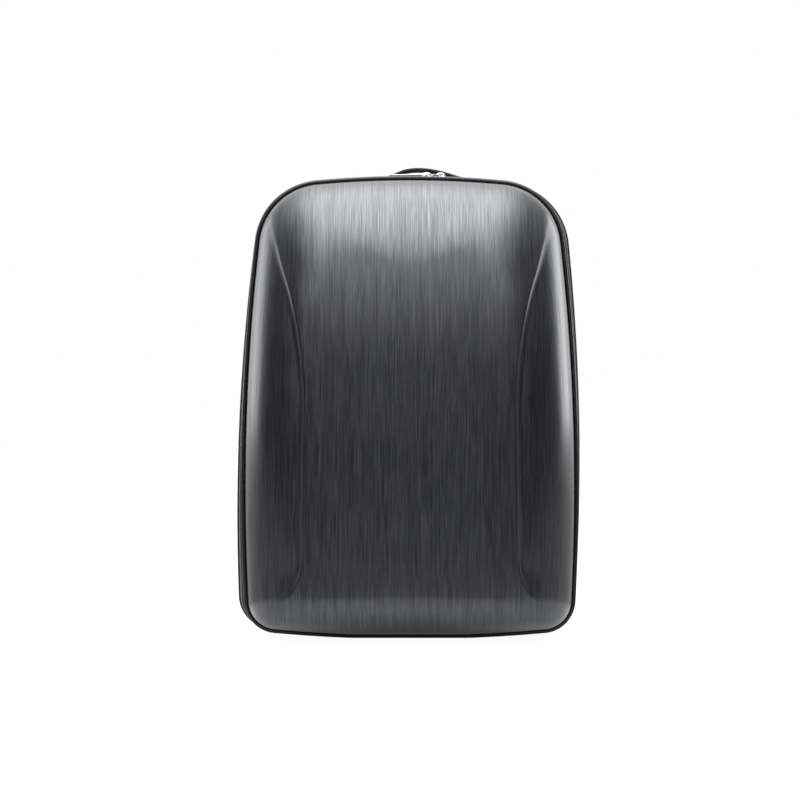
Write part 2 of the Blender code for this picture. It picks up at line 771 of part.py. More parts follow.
def build_pull(name, x, yaw_deg):
    """Pull whose cross-bar lies under the bridge: its axis is the cross-bar's middle line."""
    seat, along_x, across_x, up = slider_frame(x)
    axis = seat + up * (GAP + PULL_THICK / 2)
    yaw = math.radians(yaw_deg)
    flat = across_x * math.sin(yaw) - along_x * math.cos(yaw)
    across = along_x * math.sin(yaw) + across_x * math.cos(yaw)
    rise = resting_rise(axis, flat, across, up)
    along = flat * math.cos(rise) + up * math.sin(rise)
    out = across.cross(along)
    bar = PULL_BAR / 2
    eye = PULL_EYE_WIDTH / 2
    tab = PULL_TAB_WIDTH / 2
    full = eye + PULL_BAR
    eye_end = bar + PULL_EYE_LENGTH
    us = (-bar, bar, eye_end, eye_end + PULL_BAR, eye_end + 3.5 * PULL_BAR, PULL_LENGTH - tab, PULL_LENGTH)
    vs = (
        (-full, -eye, eye, full),
        (-full, -eye, eye, full),
        (-full, -eye, eye, full),
        (-0.9 * full, -0.6 * eye, 0.6 * eye, 0.9 * full),
        (-tab, -0.4 * tab, 0.4 * tab, tab),
        (-tab, -0.4 * tab, 0.4 * tab, tab),
        (-0.6 * tab, -0.3 * tab, 0.3 * tab, 0.6 * tab),
    )

    def place(u, v, w):
        return axis + along * u + across * v + out * w

    bm = windowed_plate(us, vs, {(1, 1)}, PULL_THICK, place)
    return add_piece(name, bm, "zip_metal", axis)


def strap_path(hand):
    """Middle line of a shoulder strap, from its sewn top to its lower end."""
    path = []
    for down, out, bow, _, thick in STRAP_ROWS:
        x = hand * mix(STRAP_TOP_X, STRAP_END_X, out)
        z = mix(STRAP_TOP_Z, STRAP_END_Z, down)
        on_case = CASE_BACK_Y + GAP + thick * STRAP_THICK / 2
        bowed = PAD_BACK_Y + STRAP_BOW + STRAP_THICK / 2
        path.append(Vector((x, mix(on_case, bowed, bow) - MIDDLE_Y, z)))
    return path


def strap_section(i):
    """Eight-sided section of the padded strap at one row."""
    _, _, _, width, thick = STRAP_ROWS[i]
    a = width * STRAP_WIDTH / 2
    b = thick * STRAP_THICK / 2
    c = min(STRAP_CORNER, 0.6 * b)
    return ((-a + c, -b), (a - c, -b), (a, -b + c), (a, b - c),
            (a - c, b), (-a + c, b), (-a, b - c), (-a, -b + c))


def lock_frame(hand):
    """Origin at the strap's end and the directions along, across and out of its webbing."""
    path = strap_path(hand)
    end = path[-1]
    lying = CASE_BACK_Y + GAP + WEBBING_THICK / 2 - MIDDLE_Y
    anchor = Vector((hand * ANCHOR_X, lying, ANCHOR_Z))
    along = (end - path[-2]).normalized()
    out = Vector((1.0, 0.0, 0.0)).cross(along).normalized()
    across = out.cross(along)
    return end, along, across, out, anchor


def fold_profile(start, end, high, chamfer):
    """Corners of a webbing loop seen from its side, its far corners cut."""
    return ((start, high), (end - chamfer, high), (end, high - chamfer),
            (end, -high + chamfer), (end - chamfer, -high), (start, -high))


def build_strap(side, hand):
    """Padded strap with its loop, ladder lock and lower webbing."""
    path = strap_path(hand)
    end, along, across, out, anchor = lock_frame(hand)
    bm = ribbon(path, Vector((1.0, 0.0, 0.0)), strap_section)
    add_piece("shoulder_strap_" + side, bm, "webbing")

    half = WEBBING_THICK / 2
    clear = GAP + half
    top = 0.012
    bar_high = LOCK_THICK / 2

    def spot(a, h):
        return end + along * a + out * h

    start = GAP
    end_a = top + LOCK_BAR + GAP
    profile_out = fold_profile(start, end_a + WEBBING_THICK, bar_high + GAP + WEBBING_THICK, 0.001)
    profile_in = fold_profile(start + WEBBING_THICK, end_a, bar_high + GAP, 0.5 * GAP)
    rings = []
    wide = WEBBING_WIDTH / 2
    for points, reach in ((profile_out, -wide), (profile_out, wide), (profile_in, wide), (profile_in, -wide)):
        rings.append([spot(a, h) + across * reach for a, h in points])
    add_piece("lock_loop_" + side, loft(rings, closed=True), "webbing")

    us = [top]
    for step in (LOCK_BAR, LOCK_SLOT, LOCK_BAR, LOCK_SLOT, LOCK_BAR):
        us.append(us[-1] + step)
    rail = LOCK_WIDTH / 2
    slot_half = WEBBING_WIDTH / 2 + 3.0 * GAP
    vs = [(-rail, -slot_half, slot_half, rail)] * len(us)

    def place(u, v, w):
        return end + along * u + across * v + out * w

    bm = windowed_plate(us, vs, {(1, 1), (3, 1)}, LOCK_THICK, place)
    add_piece("ladder_lock_" + side, bm, "lock_plastic")

    below = -(bar_high + clear)
    lower = below - WEBBING_THICK - GAP
    up_a = us[2] - clear
    down_b = us[3] + clear
    tail = us[5] + 0.004
    legs = [spot(down_b, -below), spot(down_b, below), spot(tail, below)]
    tail_end = spot(tail + TAIL_LENGTH, below)
    path = [tail_end, legs[2], legs[1], legs[0], spot(up_a, -below), spot(up_a, lower)]
    path += [spot(tail, lower)]
    lifted = anchor + Vector((0.0, ANCHOR_LIFT, 0.0))
    seated = anchor - Vector((0.0, 0.0, ANCHOR_TAB / 3))
    path += [lifted, seated, anchor - Vector((0.0, 0.0, ANCHOR_TAB))]
    bm = ribbon(path, across, strip_section(WEBBING_WIDTH, WEBBING_THICK))
    add_piece("strap_webbing_" + side, bm, "webbing")


def main():
    """Build every piece in an empty scene."""
    for item in list(bpy.data.objects):
        bpy.data.objects.remove(item, do_unlink=True)
    build_shell()
    piping_piece("front_piping", 0.0)
    build_zip_band()
    piping_piece("rear_piping", REAR_PIPING_Y)
    build_case()
    build_back_panel()
    build_handle()
    build_slider("zip_slider_left", SLIDER_LEFT_X)
    build_slider("zip_slider_right", SLIDER_RIGHT_X)
    build_pull("zip_pull_left", SLIDER_LEFT_X, 0.0)
    build_pull("zip_pull_right", SLIDER_RIGHT_X, PULL_RIGHT_YAW_DEG)
    build_strap("left", -1)
    build_strap("right", 1)


main()
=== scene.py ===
"""Hard shell backpack: the finished look of each of its pieces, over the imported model."""
import math

import bmesh
import bpy
from bpy.props import FloatProperty, FloatVectorProperty, IntProperty, PointerProperty
from mathutils import Matrix, Vector, noise


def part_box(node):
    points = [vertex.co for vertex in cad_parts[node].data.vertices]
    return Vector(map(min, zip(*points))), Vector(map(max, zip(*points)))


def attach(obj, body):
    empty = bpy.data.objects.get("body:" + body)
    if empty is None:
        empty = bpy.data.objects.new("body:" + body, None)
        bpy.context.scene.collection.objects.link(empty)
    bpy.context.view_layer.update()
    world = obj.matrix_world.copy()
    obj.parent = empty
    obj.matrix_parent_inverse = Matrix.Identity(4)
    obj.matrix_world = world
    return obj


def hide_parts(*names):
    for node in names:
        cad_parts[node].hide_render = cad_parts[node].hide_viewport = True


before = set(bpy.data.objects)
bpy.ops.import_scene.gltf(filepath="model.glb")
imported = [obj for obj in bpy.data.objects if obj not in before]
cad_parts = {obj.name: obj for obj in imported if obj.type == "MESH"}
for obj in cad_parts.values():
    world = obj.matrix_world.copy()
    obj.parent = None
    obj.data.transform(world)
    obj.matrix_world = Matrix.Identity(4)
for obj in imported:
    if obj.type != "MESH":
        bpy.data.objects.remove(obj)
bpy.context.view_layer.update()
RIM_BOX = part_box("front_piping")
HINGE_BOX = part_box("bottom_hinge")

bl_info = {
    "name": "Hard Shell Backpack",
    "version": (1, 0, 0),
    "blender": (4, 5, 0),
    "location": "View3D > Sidebar > Backpack",
    "description": "Builds the finished look of a hard shell backpack over its packed model",
    "category": "Object",
}

TAU = 2.0 * math.pi

# Points along the five arcs of half the outline, from the bottom middle to the top middle
FINE_ARCS = (22, 16, 76, 22, 24)
COARSE_ARCS = (14, 10, 44, 14, 14)

# Crease beside the centre panel: share of the height, share of the half width
CREASE = (
    (0.000, 0.900),
    (0.060, 0.815),
    (0.089, 0.730),
    (0.106, 0.683),
    (0.127, 0.652),
    (0.159, 0.626),
    (0.199, 0.617),
    (0.263, 0.617),
    (0.348, 0.614),
    (0.431, 0.610),
    (0.515, 0.606),
    (0.599, 0.620),
    (0.661, 0.643),
    (0.704, 0.666),
    (0.745, 0.693),
    (0.788, 0.730),
    (0.822, 0.756),
    (0.854, 0.779),
    (0.886, 0.812),
    (0.933, 0.848),
    (1.000, 0.895),
)

# Where the scoops beside the centre panel fade in and out: shares of the height
SCOOP_FOOT = (0.080, 0.165)
SCOOP_HEAD = (0.700, 0.940)

# Shoulder strap: way down, way out to the side, bow off the back, width, thickness (shares)
STRAP_ROWS = (
    (0.00, 0.00, 0.00, 0.80, 0.62),
    (0.06, 0.00, 0.06, 0.90, 0.85),
    (0.13, 0.00, 0.42, 0.98, 1.00),
    (0.23, 0.05, 0.76, 1.00, 1.00),
    (0.38, 0.18, 0.95, 1.00, 1.00),
    (0.54, 0.42, 1.00, 0.98, 1.00),
    (0.70, 0.68, 0.93, 0.90, 1.00),
    (0.84, 0.87, 0.90, 0.78, 0.95),
    (0.94, 0.96, 0.86, 0.66, 0.85),
    (1.00, 1.00, 0.83, 0.56, 0.70),
)

# Handle between its two tabs: share of the span, share of the rise
HANDLE_ROWS = (
    (0.00, 0.00),
    (0.04, 0.06),
    (0.14, 0.42),
    (0.24, 0.80),
    (0.34, 0.97),
    (0.42, 1.00),
    (0.54, 0.92),
    (0.68, 0.68),
    (0.82, 0.34),
    (0.95, 0.06),
    (1.00, 0.00),
)

# Rows of stitches: share of the stitch pitch, length of a stitch, radius of the thread
TAPE_STITCHES = (1.0, 0.0031, 0.00032)
CASE_STITCHES = (1.1, 0.0034, 0.00035)
STRAP_STITCHES = (1.0, 0.0030, 0.00036)
HANDLE_STITCHES = (0.825, 0.0026, 0.00034)

# Rings of the back panel's blank from its seat outward: share of the thickness, inset
PANEL_RINGS = (
    (0.0000, 0.0060),
    (0.1071, 0.0035),
    (0.2857, 0.0030),
    (0.5714, 0.0040),
    (0.7500, 0.0070),
)


def size(name, description, default):
    """A length in metres for the sidebar."""
    return FloatProperty(
        name=name,
        description=description,
        default=default,
        min=0.0,
        precision=5,
        subtype="DISTANCE",
        unit="LENGTH",
    )


def place_of(name, description, default):
    """A place in metres for the sidebar, on either side of the middle."""
    return FloatProperty(
        name=name,
        description=description,
        default=default,
        precision=5,
        subtype="DISTANCE",
        unit="LENGTH",
    )


def amount(name, description, default):
    """A plain number for the sidebar."""
    return FloatProperty(name=name, description=description, default=default, min=0.0)


def angle(name, description, degrees):
    """An angle for the sidebar, given here in degrees."""
    return FloatProperty(
        name=name,
        description=description,
        default=math.radians(degrees),
        subtype="ANGLE",
        unit="ROTATION",
    )


def paint(name, description, default):
    """A colour for the sidebar."""
    return FloatVectorProperty(
        name=name,
        description=description,
        default=default,
        size=3,
        min=0.0,
        max=1.0,
        subtype="COLOR",
    )


class OutlineSizes(bpy.types.PropertyGroup):
    """Outline of the bag over its front piping, and how its rear half differs."""

    half_width: size("Half width", "From the middle to the widest point", RIM_BOX[1][0])
    height: size("Height", "From the floor to the top of the front piping", RIM_BOX[1][2])
    widest_z: size("Widest height", "Height at which the bag is widest", 0.150)
    side_arc: size("Side arc", "Radius of each side", 2.180)
    top_arc: size("Top arc", "Radius of the top edge", 1.010)
    bottom_arc: size("Bottom arc", "Radius of the bottom edge", 1.540)
    top_corner: size("Top corner", "Radius of the upper corners", 0.068)
    bottom_corner: size("Bottom corner", "Radius of the lower corners", 0.033)
    rear_growth: size("Rear growth", "How much wider each side of the rear half is", 0.0042)
    rear_rise: size("Rear rise", "How much higher the rear half is", 0.0012)
    twist: angle("Twist", "How far the rear half has turned against the front half", 0.8)
    twist_z: size("Twist height", "Height about which the rear half has turned", 0.238)
    settle: size("Settling", "How far the bottom has settled on the floor", 0.0012)
    settle_reach: size("Settling reach", "Height up to which the bag has settled", 0.060)
    gap: size("Gap", "Space between neighbouring pieces", 0.0003)


class ShellSizes(bpy.types.PropertyGroup):
    """The hard front half."""

    depth: size("Depth", "How far the dome stands forward", 0.092)
    wall: size("Wall", "Thickness of the plastic", 0.0025)
    roll_side: size("Side roll", "How far in from the side the dome keeps turning", 0.065)
    roll_top: size("Top roll", "How far down from the top the dome keeps turning", 0.098)
    roll_bottom: size("Bottom roll", "How far up from the bottom the dome keeps turning", 0.060)
    lean_reach: size("Lean reach", "How far down the top leans back", 0.245)
    lean_overrun: size("Lean overrun", "How far above the top the lean would end", 0.045)
    crown_radius: size("Crown", "Radius of the face from side to side", 0.83)
    spine_low: size("Spine foot", "Lowest point of the line that the dome runs to", 0.095)
    spine_high: size("Spine head", "Highest point of the line that the dome runs to", 0.330)
    scoop_depth: size("Scoop depth", "Step down from the centre panel to the side scoops", 0.0045)
    scoop_reach: size("Scoop reach", "How far out a scoop fades", 0.050)
    step_run: size("Step run", "Width of the step beside the centre panel", 0.006)
    rim_clear: size("Rim clearance", "Margin along the rim that the scoops leave alone", 0.014)
    inset: size("Inset", "From the outline over the piping to the shell's edge", 0.0047)


class BandSizes(bpy.types.PropertyGroup):
    """Pipings, tapes and zip between the two halves."""

    piping_radius: size("Piping radius", "Radius of the cord round each rim", 0.0022)
    tape_inset: size("Tape inset", "How far the tapes lie below the pipings", 0.0015)
    tape_wall: size("Tape thickness", "Thickness of the tapes", 0.0020)
    tape_width: size("Tape width", "Width of each tape", 0.0085)
    chain_width: size("Chain width", "Width over both rows of coil", 0.0060)
    chain_proud: size("Chain height", "How far the coil stands over the tapes", 0.0006)
    coil_pitch: size("Coil pitch", "From one turn of the coil to the next", 0.0026)
    hinge_half: size("Hinge half width", "Half width of the bottom hinge", HINGE_BOX[1][0])
    stitch_pitch: size("Stitch pitch", "From one stitch to the next", 0.0040)


class CaseSizes(bpy.types.PropertyGroup):
    """The cloth rear half and the pad on the wearer's back."""

    depth: size("Case depth", "From the rear piping to the flat back", 0.064)
    wall: size("Case wall", "Thickness of the lined cloth", 0.0030)
    roll: size("Case roll", "Radius of the rear edge", 0.018)
    crown: size("Crown", "How far the cloth bellies out between its seams", 0.0011)
    crumple: size("Crumple", "Height of the soft waves in the cloth", 0.0009)
    pad_thick: size("Pad thickness", "Thickness of the back panel", 0.014)
    pad_half_width: size("Pad half width", "Half width of the back panel", 0.098)
    pad_low: size("Pad foot", "Lowest point of the back panel", 0.065)
    pad_high: size("Pad head", "Highest point of the back panel", 0.378)
    pad_corner: size("Pad corner", "Radius of the back panel's corners", 0.030)
    channel_x: size("Channel place", "From the middle to each upright channel", 0.026)
    channel_depth: size("Channel depth", "Depth of the sewn channels", 0.0042)


class StrapSizes(bpy.types.PropertyGroup):
    """Shoulder straps with their loops, buckles and lower webbing."""

    top_x: size("Top place", "From the middle to the strap's upper end", 0.052)
    end_x: size("End place", "From the middle to the strap's lower end", 0.088)
    top_z: size("Top height", "Height of the strap's upper end", 0.434)
    end_z: size("End height", "Height of the strap's lower end", 0.160)
    width: size("Strap width", "Width where the strap is widest", 0.062)
    thick: size("Strap thickness", "Thickness where the strap is thickest", 0.012)
    bow: size("Strap bow", "How far the strap stands off the back", 0.030)
    webbing_width: size("Webbing width", "Width of the lower webbing", 0.025)
    webbing_thick: size("Webbing thickness", "Thickness of the lower webbing", 0.0016)
    lock_width: size("Buckle width", "Width of the ladder lock", 0.034)
    lock_bar: size("Buckle bar", "Width of each bar of the ladder lock", 0.0040)
    lock_slot: size("Buckle slot", "Width of each slot of the ladder lock", 0.0055)
    lock_thick: size("Buckle thickness", "Thickness of the ladder lock", 0.0040)
    anchor_x: size("Anchor place", "From the middle to where the webbing is sewn down", 0.134)
    anchor_z: size("Anchor height", "Height at which the webbing is sewn down", 0.056)
    anchor_tab: size("Anchor length", "Length of the webbing that is sewn down", 0.022)
    anchor_lift: size("Anchor lift", "How far the webbing lifts before it is sewn down", 0.002)
    lock_offset: size("Buckle offset", "From the strap's end to the ladder lock", 0.012)
    tail: size("Tail", "Free end of the webbing", 0.060)
    binding_wide: size("Binding half width", "Half width of the bound edge", 0.0026)
    binding_high: size("Binding half height", "Half height of the bound edge", 0.0030)
    binding_inset: size("Binding inset", "From the strap's edge to the binding's middle", 0.0022)


class TopSizes(bpy.types.PropertyGroup):
    """Handle, zip sliders and pulls on top."""

    handle_x: place_of("Handle place", "Where the middle of the handle lies across", 0.0185)
    handle_span: size("Handle span", "Between the handle's sewn tabs", 0.092)
    handle_tab: size("Handle tab", "Length of each sewn tab", 0.022)
    handle_rise: size("Handle rise", "How far the handle arches up", 0.0096)
    handle_width: size("Handle width", "Width of the handle's webbing", 0.025)
    handle_thick: size("Handle thickness", "Thickness of the doubled webbing", 0.0032)
    slider_left_x: size("Left slider", "Where the left slider stands across", 0.017)
    slider_right_x: size("Right slider", "Where the right slider stands across", 0.031)
    slider_length: size("Slider length", "Length of a slider along the zip", 0.0110)
    slider_width: size("Slider width", "Width of a slider across the zip", 0.0080)
    slider_plate: size("Slider plate", "Thickness of a slider's plate", 0.0014)
    bridge_length: size("Bridge length", "Length of the bridge that holds the pull", 0.0096)
    bridge_bar: size("Bridge bar", "Thickness of the bridge", 0.0011)
    bridge_window: size("Bridge window", "Height of the opening under the bridge", 0.0024)
    bridge_width: size("Bridge width", "Width of the bridge", 0.0022)
    pull_length: size("Pull length", "Length of a pull from its cross-bar", 0.036)
    pull_thick: size("Pull thickness", "Thickness of a pull", 0.0014)
    pull_bar: size("Pull bar", "Width of the bars round a pull's eye", 0.0014)
    pull_eye_width: size("Eye width", "Inside width of a pull's eye", 0.0078)
    pull_eye_length: size("Eye length", "Inside length of a pull's eye", 0.0048)
    pull_tab_width: size("Pull width", "Width of a pull's tab", 0.0050)
    pull_right_yaw: angle("Right pull turn", "How far the right pull has turned back", 34.0)


class FinishColours(bpy.types.PropertyGroup):
    """Colours of the finishes."""

    shell: paint("Shell", "Dark film of the shell", (0.062, 0.064, 0.070))
    shell_light: paint("Shell streak", "Lighter streaks in the shell's film", (0.132, 0.135, 0.144))
    piping: paint("Piping", "Glossy cord", (0.0060, 0.0060, 0.0065))
    tape: paint("Tape", "Woven tape", (0.016, 0.016, 0.018))
    coil: paint("Coil", "Nylon coil", (0.010, 0.010, 0.011))
    case: paint("Case", "Woven cloth of the rear half", (0.020, 0.020, 0.022))
    mesh: paint("Spacer mesh", "Mesh over the pads", (0.014, 0.014, 0.015))
    webbing: paint("Webbing", "Ribbed webbing", (0.010, 0.010, 0.011))
    plastic: paint("Plastic", "Moulded buckles", (0.012, 0.012, 0.013))
    metal: paint("Metal", "Polished zip metal", (0.80, 0.80, 0.82))
    floor: paint("Floor", "Pale floor", (0.12, 0.12, 0.12))


class StageSettings(bpy.types.PropertyGroup):
    """Camera, floor and light."""

    azimuth: angle("Azimuth", "How far round to the right the camera stands", 0.0)
    distance: size("Distance", "From the camera to the rim's plane", 2.55)
    lens: FloatProperty(
        name="Lens",
        description="Focal length in millimetres",
        default=114.75,
        min=1.0,
        unit="CAMERA",
    )
    target_x: place_of("Target place", "Where the camera looks, from side to side", -0.0098)
    target_z: size("Target height", "Height at which the camera looks", 0.238)
    floor_size: size("Floor size", "Side of the square floor", 12.0)
    floor_front: size("Floor front", "How far the floor runs in front of the bag", 1.15)
    front_light: amount("Front light", "Brightness of the room in front of the bag", 0.15)
    rear_light: amount("Rear light", "Brightness of the pale wall behind the bag", 1.0)
    top_light: amount("Top light", "Brightness of the wide soft light overhead", 5.2)
    left_light: amount("Left light", "Power of the tall light on the left in watts", 2.0)
    right_light: amount("Right light", "Power of the tall light on the right in watts", 3.2)
    light_side: size("Light place", "How far out to the side each tall light stands", 1.0)
    light_back: size("Light distance", "How far behind the bag each tall light stands", 0.62)
    light_middle: size("Light height", "Height of the middle of each tall light", 0.56)
    light_wide: size("Light width", "Width of each tall light", 0.62)
    light_high: size("Light length", "Length of each tall light from top to bottom", 0.70)
    light_aim: size("Light aim", "How far above the camera's target the tall lights look", 0.05)


class BackpackSettings(bpy.types.PropertyGroup):
    """All sizes and colours of the backpack."""

    outline: PointerProperty(type=OutlineSizes)
    shell: PointerProperty(type=ShellSizes)
    bands: PointerProperty(type=BandSizes)
    case: PointerProperty(type=CaseSizes)
    straps: PointerProperty(type=StrapSizes)
    top: PointerProperty(type=TopSizes)
    colours: PointerProperty(type=FinishColours)
    stage: PointerProperty(type=StageSettings)
    simulation_steps: IntProperty(
        name="Simulation steps",
        description="Frames for which the padding swells",
        default=20,
        min=2,
    )


def mix(first, second, share):
    """Value between two values."""
    return first + (second - first) * share


def smooth(value, low, high):
    """Ease from 0 at low to 1 at high."""
    share = min(1.0, max(0.0, (value - low) / (high - low)))
    return share * share * (3.0 - 2.0 * share)


def bell(distance, reach):
    """Ease from 1 at no distance to 0 at the reach."""
    return 1.0 - smooth(abs(distance), 0.0, reach)


def along_table(rows, key, column=1):
    """Read a table of rows at a key, eased through its rows without overshoot."""
    key = min(rows[-1][0], max(rows[0][0], key))
    place = max(i for i in range(len(rows) - 1) if rows[i][0] <= key)
    spans = []
    for before, after in zip(rows, rows[1:]):
        spans.append((after[column] - before[column]) / (after[0] - before[0]))

    def slope(i):
        before = spans[max(0, i - 1)]
        after = spans[min(len(spans) - 1, i)]
        return 0.0 if before * after < 0.0 else 0.5 * (before + after)

    width = rows[place + 1][0] - rows[place][0]
    t = (key - rows[place][0]) / width
    start = rows[place][column]
    end = rows[place + 1][column]
    value = start * (2 * t**3 - 3 * t**2 + 1) + end * (3 * t**2 - 2 * t**3)
    value += slope(place) * width * (t**3 - 2 * t**2 + t)
    value += slope(place + 1) * width * (t**3 - t**2)
    return value


def running(points, closed=False):
    """Length along a line of points up to each of them."""
    total = [0.0]
    shown = list(points) + [points[0]] if closed else list(points)
    for start, end in zip(shown, shown[1:]):
        total.append(total[-1] + (end - start).length)
    return total


def circles_meet(first, first_radius, second, second_radius, low):
    """Right-hand point where two circles cross, the lower one if low."""
    reach = second - first
    span = reach.length
    along = (first_radius**2 - second_radius**2 + span**2) / (2.0 * span)
    off = math.sqrt(max(0.0, first_radius**2 - along**2))
    unit = reach / span
    middle = first + unit * along
    across = Vector((-unit.y, unit.x))
    points = [middle + across * off, middle - across * off]
    points = [p for p in points if p.x > 0.0]
    return min(points, key=lambda p: p.y) if low else max(points, key=lambda p: p.y)


def half_outline(outline, half_width, height, steps):
    """Points and outward directions up the right half, from five arcs that run on smoothly."""
    side = Vector((half_width - outline.side_arc, outline.widest_z))
    top = Vector((0.0, height - outline.top_arc))
    bottom = Vector((0.0, outline.bottom_arc))
    side_inner = outline.side_arc - outline.bottom_corner
    low = circles_meet(side, side_inner, bottom, outline.bottom_arc - outline.bottom_corner, True)
    side_inner = outline.side_arc - outline.top_corner
    high = circles_meet(side, side_inner, top, outline.top_arc - outline.top_corner, False)

    def heading(start, end):
        return math.atan2(end.y - start.y, end.x - start.x)

    turns = [-math.pi / 2, heading(bottom, low), heading(side, low)]
    turns += [heading(side, high), heading(top, high), math.pi / 2]
    arcs = (
        (bottom, outline.bottom_arc),
        (low, outline.bottom_corner),
        (side, outline.side_arc),
        (high, outline.top_corner),
        (top, outline.top_arc),
    )
    points = []
    for number, (centre, radius) in enumerate(arcs):
        for step in range(0 if number == 0 else 1, steps[number] + 1):
            turn = mix(turns[number], turns[number + 1], step / steps[number])
            out = Vector((math.cos(turn), math.sin(turn)))
            points.append((centre + out * radius, out))
    return points


def whole_outline(outline, half_width, height, twist, steps):
    """Closed outline from the bottom middle, up the right side and down the left."""
    right = half_outline(outline, half_width, height, steps)
    left = [(Vector((-p.x, p.y)), Vector((-n.x, n.y))) for p, n in reversed(right[1:-1])]
    pivot = Vector((0.0, outline.twist_z))
    cosine = math.cos(-twist)
    sine = math.sin(-twist)

    def turned(v):
        return Vector((v.x * cosine - v.y * sine, v.x * sine + v.y * cosine))

    return [(pivot + turned(p - pivot), turned(n)) for p, n in right + left]


class Layout:
    """Where the layers lie from front to back, and the outline at each depth."""

    def __init__(self, bag, steps):
        outline = bag.outline
        self.sizes = outline
        grown = outline.half_width + outline.rear_growth
        raised = outline.height + outline.rear_rise
        self.front = whole_outline(outline, outline.half_width, outline.height, 0.0, steps)
        self.rear = whole_outline(outline, grown, raised, outline.twist, steps)
        self.count = len(self.front)
        gap = outline.gap
        radius = bag.bands.piping_radius
        self.tape_front = radius + gap
        self.chain = self.tape_front + bag.bands.tape_width + gap
        self.tape_rear = self.chain + bag.bands.chain_width + gap
        self.rear_piping = self.tape_rear + bag.bands.tape_width + gap + radius
        self.case = self.rear_piping + radius + gap
        self.case_back = self.case + bag.case.depth
        self.pad = self.case_back + gap
        self.pad_back = self.pad + bag.case.pad_thick
        strap_back = self.pad_back + bag.straps.bow + bag.straps.thick
        self.middle = 0.5 * (strap_back - bag.shell.depth)

    def point(self, index, y, inset, sag=0.0):
        """Point of the outline at a depth y, set in from it and settled on the floor."""
        share = min(1.0, max(0.0, y / self.rear_piping))
        front, front_out = self.front[index % self.count]
        rear, rear_out = self.rear[index % self.count]
        spot = (front - front_out * inset).lerp(rear - rear_out * inset, share)
        drop = (self.sizes.settle + sag) * max(0.0, 1.0 - spot.y / self.sizes.settle_reach)
        return Vector((spot.x, y - self.middle, max(inset - sag, spot.y - drop)))

    def out(self, index, y):
        """Outward direction of the outline."""
        share = min(1.0, max(0.0, y / self.rear_piping))
        out = self.front[index % self.count][1].lerp(self.rear[index % self.count][1], share)
        return Vector((out.x, 0.0, out.y)).normalized()

    def ring(self, y, inset, sag=0.0):
        """Closed ring of outline points at one depth."""
        return [self.point(i, y, inset, sag) for i in range(self.count)]

    def lengths(self, y):
        """Length along the outline up to each point, and back to the first."""
        return running(self.ring(y, 0.0), closed=True)

    def top(self, x, y, inset):
        """Height of the outline's top at a place across."""
        half = self.count // 4
        ring = [self.point(i, y, inset) for i in range(half, 3 * half + 2)]
        ring = [p for p in ring if p.z > 0.6 * self.sizes.height]
        ring.sort(key=lambda p: p.x)
        for before, after in zip(ring, ring[1:]):
            if before.x <= x <= after.x:
                return mix(before.z, after.z, (x - before.x) / (after.x - before.x))
        return ring[0].z


def even_line(points, pitch):
    """Places at an even pitch along a line of points: each with the share between two points."""
    places = []
    left = 0.5 * pitch
    for number, (start, end) in enumerate(zip(points, points[1:])):
        span = (end - start).length
        while left <= span:
            places.append((number, left / span))
            left += pitch
        left -= span
    return places


def tidy_mesh(bm):
    """Merge doubled points and turn every face outward."""
    bmesh.ops.remove_doubles(bm, verts=bm.verts, dist=1e-6)
    bmesh.ops.dissolve_degenerate(bm, edges=bm.edges, dist=1e-7)
    bmesh.ops.recalc_face_normals(bm, faces=bm.faces)


def add_piece(name, bm, material, sharp=None):
    """Turn a bmesh into a piece at the origin, smooth but for edges sharper than an angle."""
    mesh = bpy.data.meshes.new(name)
    for face in bm.faces:
        face.smooth = True
    if sharp is not None:
        for edge in bm.edges:
            if len(edge.link_faces) == 2 and edge.calc_face_angle(0.0) > math.radians(sharp):
                edge.smooth = False
    bm.to_mesh(mesh)
    bm.free()
    mesh.materials.append(material)
    piece = bpy.data.objects.new(name, mesh)
    bpy.context.scene.collection.objects.link(piece)
    return piece


def settle_in(piece, body="bag", nodes=()):
    """Ride a piece on its body and hide the CAD nodes it stands for."""
    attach(piece, body)
    if nodes:
        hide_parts(*nodes)


def lay_surface(bm, surface):
    """Give each face corner its place in metres on the piece's own surface."""
    layer = bm.loops.layers.uv.new("surface")
    slot = bm.verts.layers.int["slot"]
    row = bm.verts.layers.int["row"]
    last = len(surface[0]) - 1
    for face in bm.faces:
        slots = [vert[slot] for vert in face.verts]
        wraps = len(slots) == 4 and max(slots) - min(slots) > 1
        for loop in face.loops:
            place = loop.vert[slot]
            if wraps and place == 0:
                place = last
            loop[layer].uv = surface[loop.vert[row]][place]


def loft(rings, surface=None, closed=False, capped=True):
    """Bmesh through matching rings: a closed tube, or one with flat ends."""
    bm = bmesh.new()
    slot = bm.verts.layers.int.new("slot")
    row = bm.verts.layers.int.new("row")
    count = len(rings[0])
    bmesh.ops.create_circle(bm, cap_ends=False, radius=1.0, segments=count)
    for vert in bm.verts:
        turn = math.atan2(-vert.co.x, vert.co.y) % TAU
        vert[slot] = round(turn / TAU * count) % count
        vert.co = rings[0][vert[slot]]
    edges = bm.edges[:]
    if capped and not closed:
        bmesh.ops.edgeloop_fill(bm, edges=edges)
    shown = rings + rings[:1] if closed else rings
    for number, ring in enumerate(shown[1:], 1):
        made = bmesh.ops.extrude_edge_only(bm, edges=edges)["geom"]
        fresh = {v for v in made if isinstance(v, bmesh.types.BMVert)}
        for vert in fresh:
            vert[row] = number
            vert.co = ring[vert[slot]]
        lines = [e for e in made if isinstance(e, bmesh.types.BMEdge)]
        edges = [e for e in lines if e.verts[0] in fresh and e.verts[1] in fresh]
    if capped and not closed:
        bmesh.ops.edgeloop_fill(bm, edges=edges)
    if surface:
        lay_surface(bm, surface)
    tidy_mesh(bm)
    return bm


